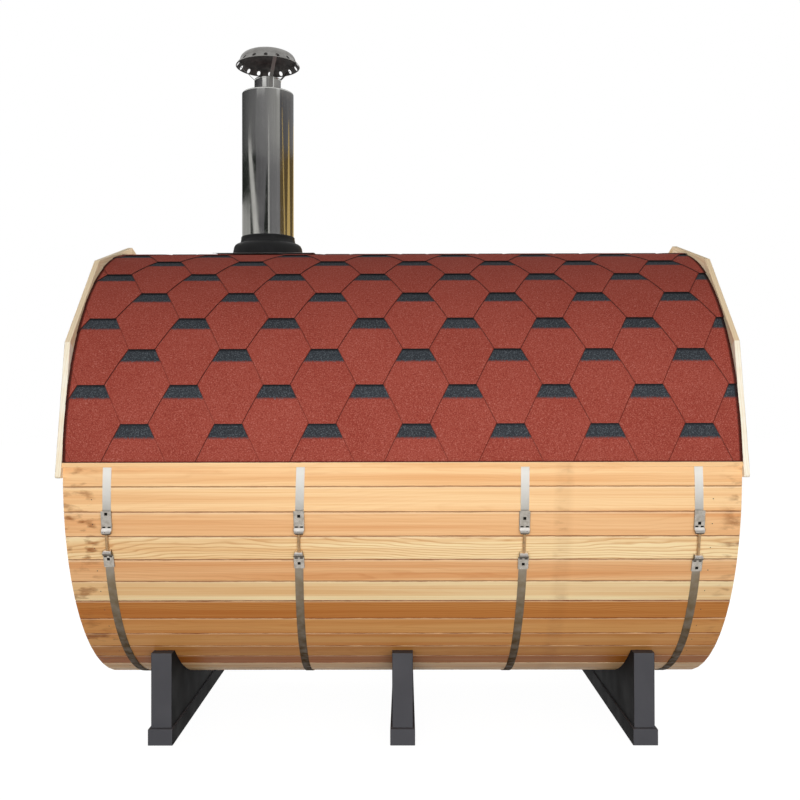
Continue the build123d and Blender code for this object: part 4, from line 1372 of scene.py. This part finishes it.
def set_floor():
    """A pale floor that glows to white where it is seen, and keeps the object's shadow."""
    material = bpy.data.materials.new("pale studio floor")
    add = empty_tree(material)
    seen = seen_ray(add)
    share = add("Math", [seen, FLOOR_GLOW_SHARE], "MULTIPLY")
    tone = add("Mix", {0: seen, 6: grey(FLOOR_BOUNCE), 7: grey(FLOOR_WHITE)}, **MIXED)
    matte = add("BsdfDiffuse", {"Color": tone})
    glow = add("Emission", {"Color": grey(1.0), "Strength": FLOOR_GLOW})
    mixed = add("MixShader", [share, matte, glow])
    add("OutputMaterial", {"Surface": mixed}, output=None)
    shape = bmesh.new()
    bmesh.ops.create_grid(shape, x_segments=1, y_segments=1, size=FLOOR_HALF_WIDTH)
    new_object("floor", shape, [material])


def between(ends, share):
    return ends[0] + (ends[1] - ends[0]) * share


def set_card(name, levels, foot, head, tones, distance):
    """One shaded glowing card that stands round the flue out of view, seen only in its mirror: a painted
    reflection.
    """
    material = bpy.data.materials.new(name)
    add = empty_tree(material)
    card_place = add("UVMap", uv_map="card")
    across = add("SeparateXYZ", [card_place])
    tone = add("Mix", {0: across, 6: tones[0], 7: tones[1]}, **MIXED)
    glow = add("Emission", {"Color": tone, "Strength": 1.0})
    add("OutputMaterial", {"Surface": glow}, output=None)
    shape = bmesh.new()
    shape.loops.layers.uv.new("card")
    bmesh.ops.create_grid(shape, x_segments=CARD_STEPS, y_segments=CARD_STEPS, size=UNIT_HALF, calc_uvs=True)
    for vert in shape.verts:
        right = vert.co.x + UNIT_HALF
        up = vert.co.y + UNIT_HALF
        turn = math.radians(between((between(foot, right), between(head, right)), up))
        reach = Vector((math.sin(turn), -math.cos(turn), 0)) * distance
        vert.co = Vector((FLUE_X, 0, between(levels, up))) + reach
    card = new_object(name, shape, [material])
    for ray in ("camera", "diffuse", "transmission", "shadow"):
        setattr(card, "visible_" + ray, False)


def set_cards():
    """Wide glowing cards round the flue, and strips before them, that paint its reflections."""
    for name, levels, sides, tones in CARDS:
        set_card(name, levels, sides, sides, tones, CARD_DISTANCE)
    for name, levels, foot, head, tone in STRIPS:
        set_card(name, levels, foot, head, (tone, tone), STRIP_DISTANCE)


def set_world(context):
    """White where it is seen, and a softer light from all round."""
    world = bpy.data.worlds.new("studio")
    add = empty_tree(world)
    seen = seen_ray(add)
    soft = add("Background", {"Color": grey(1.0), "Strength": SKY_STRENGTH})
    white = add("Background", {"Color": grey(1.0), "Strength": 1.0})
    mixed = add("MixShader", [seen, soft, white])
    add("OutputWorld", {"Surface": mixed}, output=None)
    context.scene.world = world


def set_softbox(context, name, place, size, power):
    """A large soft lamp that looks at the middle of the barrel."""
    lamp = bpy.data.lights.new(name, "AREA")
    lamp.shape = "RECTANGLE"
    lamp.size, lamp.size_y = size
    lamp.energy = power
    softbox = bpy.data.objects.new(name, lamp)
    softbox.location = place
    aim = Vector((0, 0, AXIS_HEIGHT)) - place
    softbox.rotation_euler = aim.to_track_quat("-Z", "Y").to_euler()
    softbox.visible_glossy = False
    context.scene.collection.objects.link(softbox)


def set_lamps(context):
    """One softbox in front, behind the camera, and two behind the barrel that fill the ends and the back."""
    set_softbox(context, "front_softbox", KEY_PLACE, KEY_SIZE, KEY_POWER)
    for side, name in ((-1, "left_softbox"), (1, "right_softbox")):
        set_softbox(context, name, FILL_PLACE * Vector((side, 1, 1)), FILL_SIZE, FILL_POWER)


def set_camera(context):
    """The photograph's camera."""
    level = math.cos(CAMERA_PITCH)
    ahead = Vector((math.sin(CAMERA_YAW) * level, math.cos(CAMERA_YAW) * level, math.sin(CAMERA_PITCH)))
    right = Vector((math.cos(CAMERA_YAW), -math.sin(CAMERA_YAW), 0))
    up = right.cross(ahead)
    rolled_right = right * math.cos(CAMERA_ROLL) + up * math.sin(CAMERA_ROLL)
    rolled_up = up * math.cos(CAMERA_ROLL) - right * math.sin(CAMERA_ROLL)
    turn = Matrix((rolled_right, rolled_up, -ahead)).transposed().to_4x4()
    lens = bpy.data.cameras.new("camera")
    lens.sensor_width = SENSOR_WIDTH_MM
    lens.lens = FOCAL_LENGTH_PX / IMAGE_WIDTH_PX * SENSOR_WIDTH_MM
    camera = bpy.data.objects.new("camera", lens)
    camera.matrix_world = Matrix.Translation(CAMERA_PLACE) @ turn
    context.scene.collection.objects.link(camera)
    context.scene.camera = camera


OPERATORS = (
    SAUNA_OT_staves,
    SAUNA_OT_end_walls,
    SAUNA_OT_fascia,
    SAUNA_OT_cradles,
    SAUNA_OT_bands,
    SAUNA_OT_nails,
    SAUNA_OT_screws,
    SAUNA_OT_shingles,
    SAUNA_OT_flue_pipes,
    SAUNA_OT_flue_cap,
    SAUNA_OT_flue_boot,
    SAUNA_OT_flashing,
    SAUNA_OT_stage,
)


class SAUNA_PT_panel(bpy.types.Panel):
    """Sizes, colours and pieces of the sauna"""

    bl_label = "Barrel sauna"
    bl_space_type = "VIEW_3D"
    bl_region_type = "UI"
    bl_category = "Sauna"

    def draw(self, context):
        for group in (context.scene.sauna_sizes, context.scene.sauna_colours):
            for name in group.__annotations__:
                self.layout.prop(group, name)
        for operator in OPERATORS:
            self.layout.operator(operator.bl_idname)


CLASSES = (SaunaSizes, SaunaColours, *OPERATORS, SAUNA_PT_panel)


def register():
    for kind in CLASSES:
        bpy.utils.register_class(kind)
    bpy.types.Scene.sauna_sizes = bpy.props.PointerProperty(type=SaunaSizes)
    bpy.types.Scene.sauna_colours = bpy.props.PointerProperty(type=SaunaColours)


def unregister():
    del bpy.types.Scene.sauna_colours
    del bpy.types.Scene.sauna_sizes
    for kind in reversed(CLASSES):
        bpy.utils.unregister_class(kind)


def main():
    register()
    for operator in OPERATORS:
        group, name = operator.bl_idname.split(".")
        getattr(getattr(bpy.ops, group), name)()


if __name__ == "__main__":
    main()
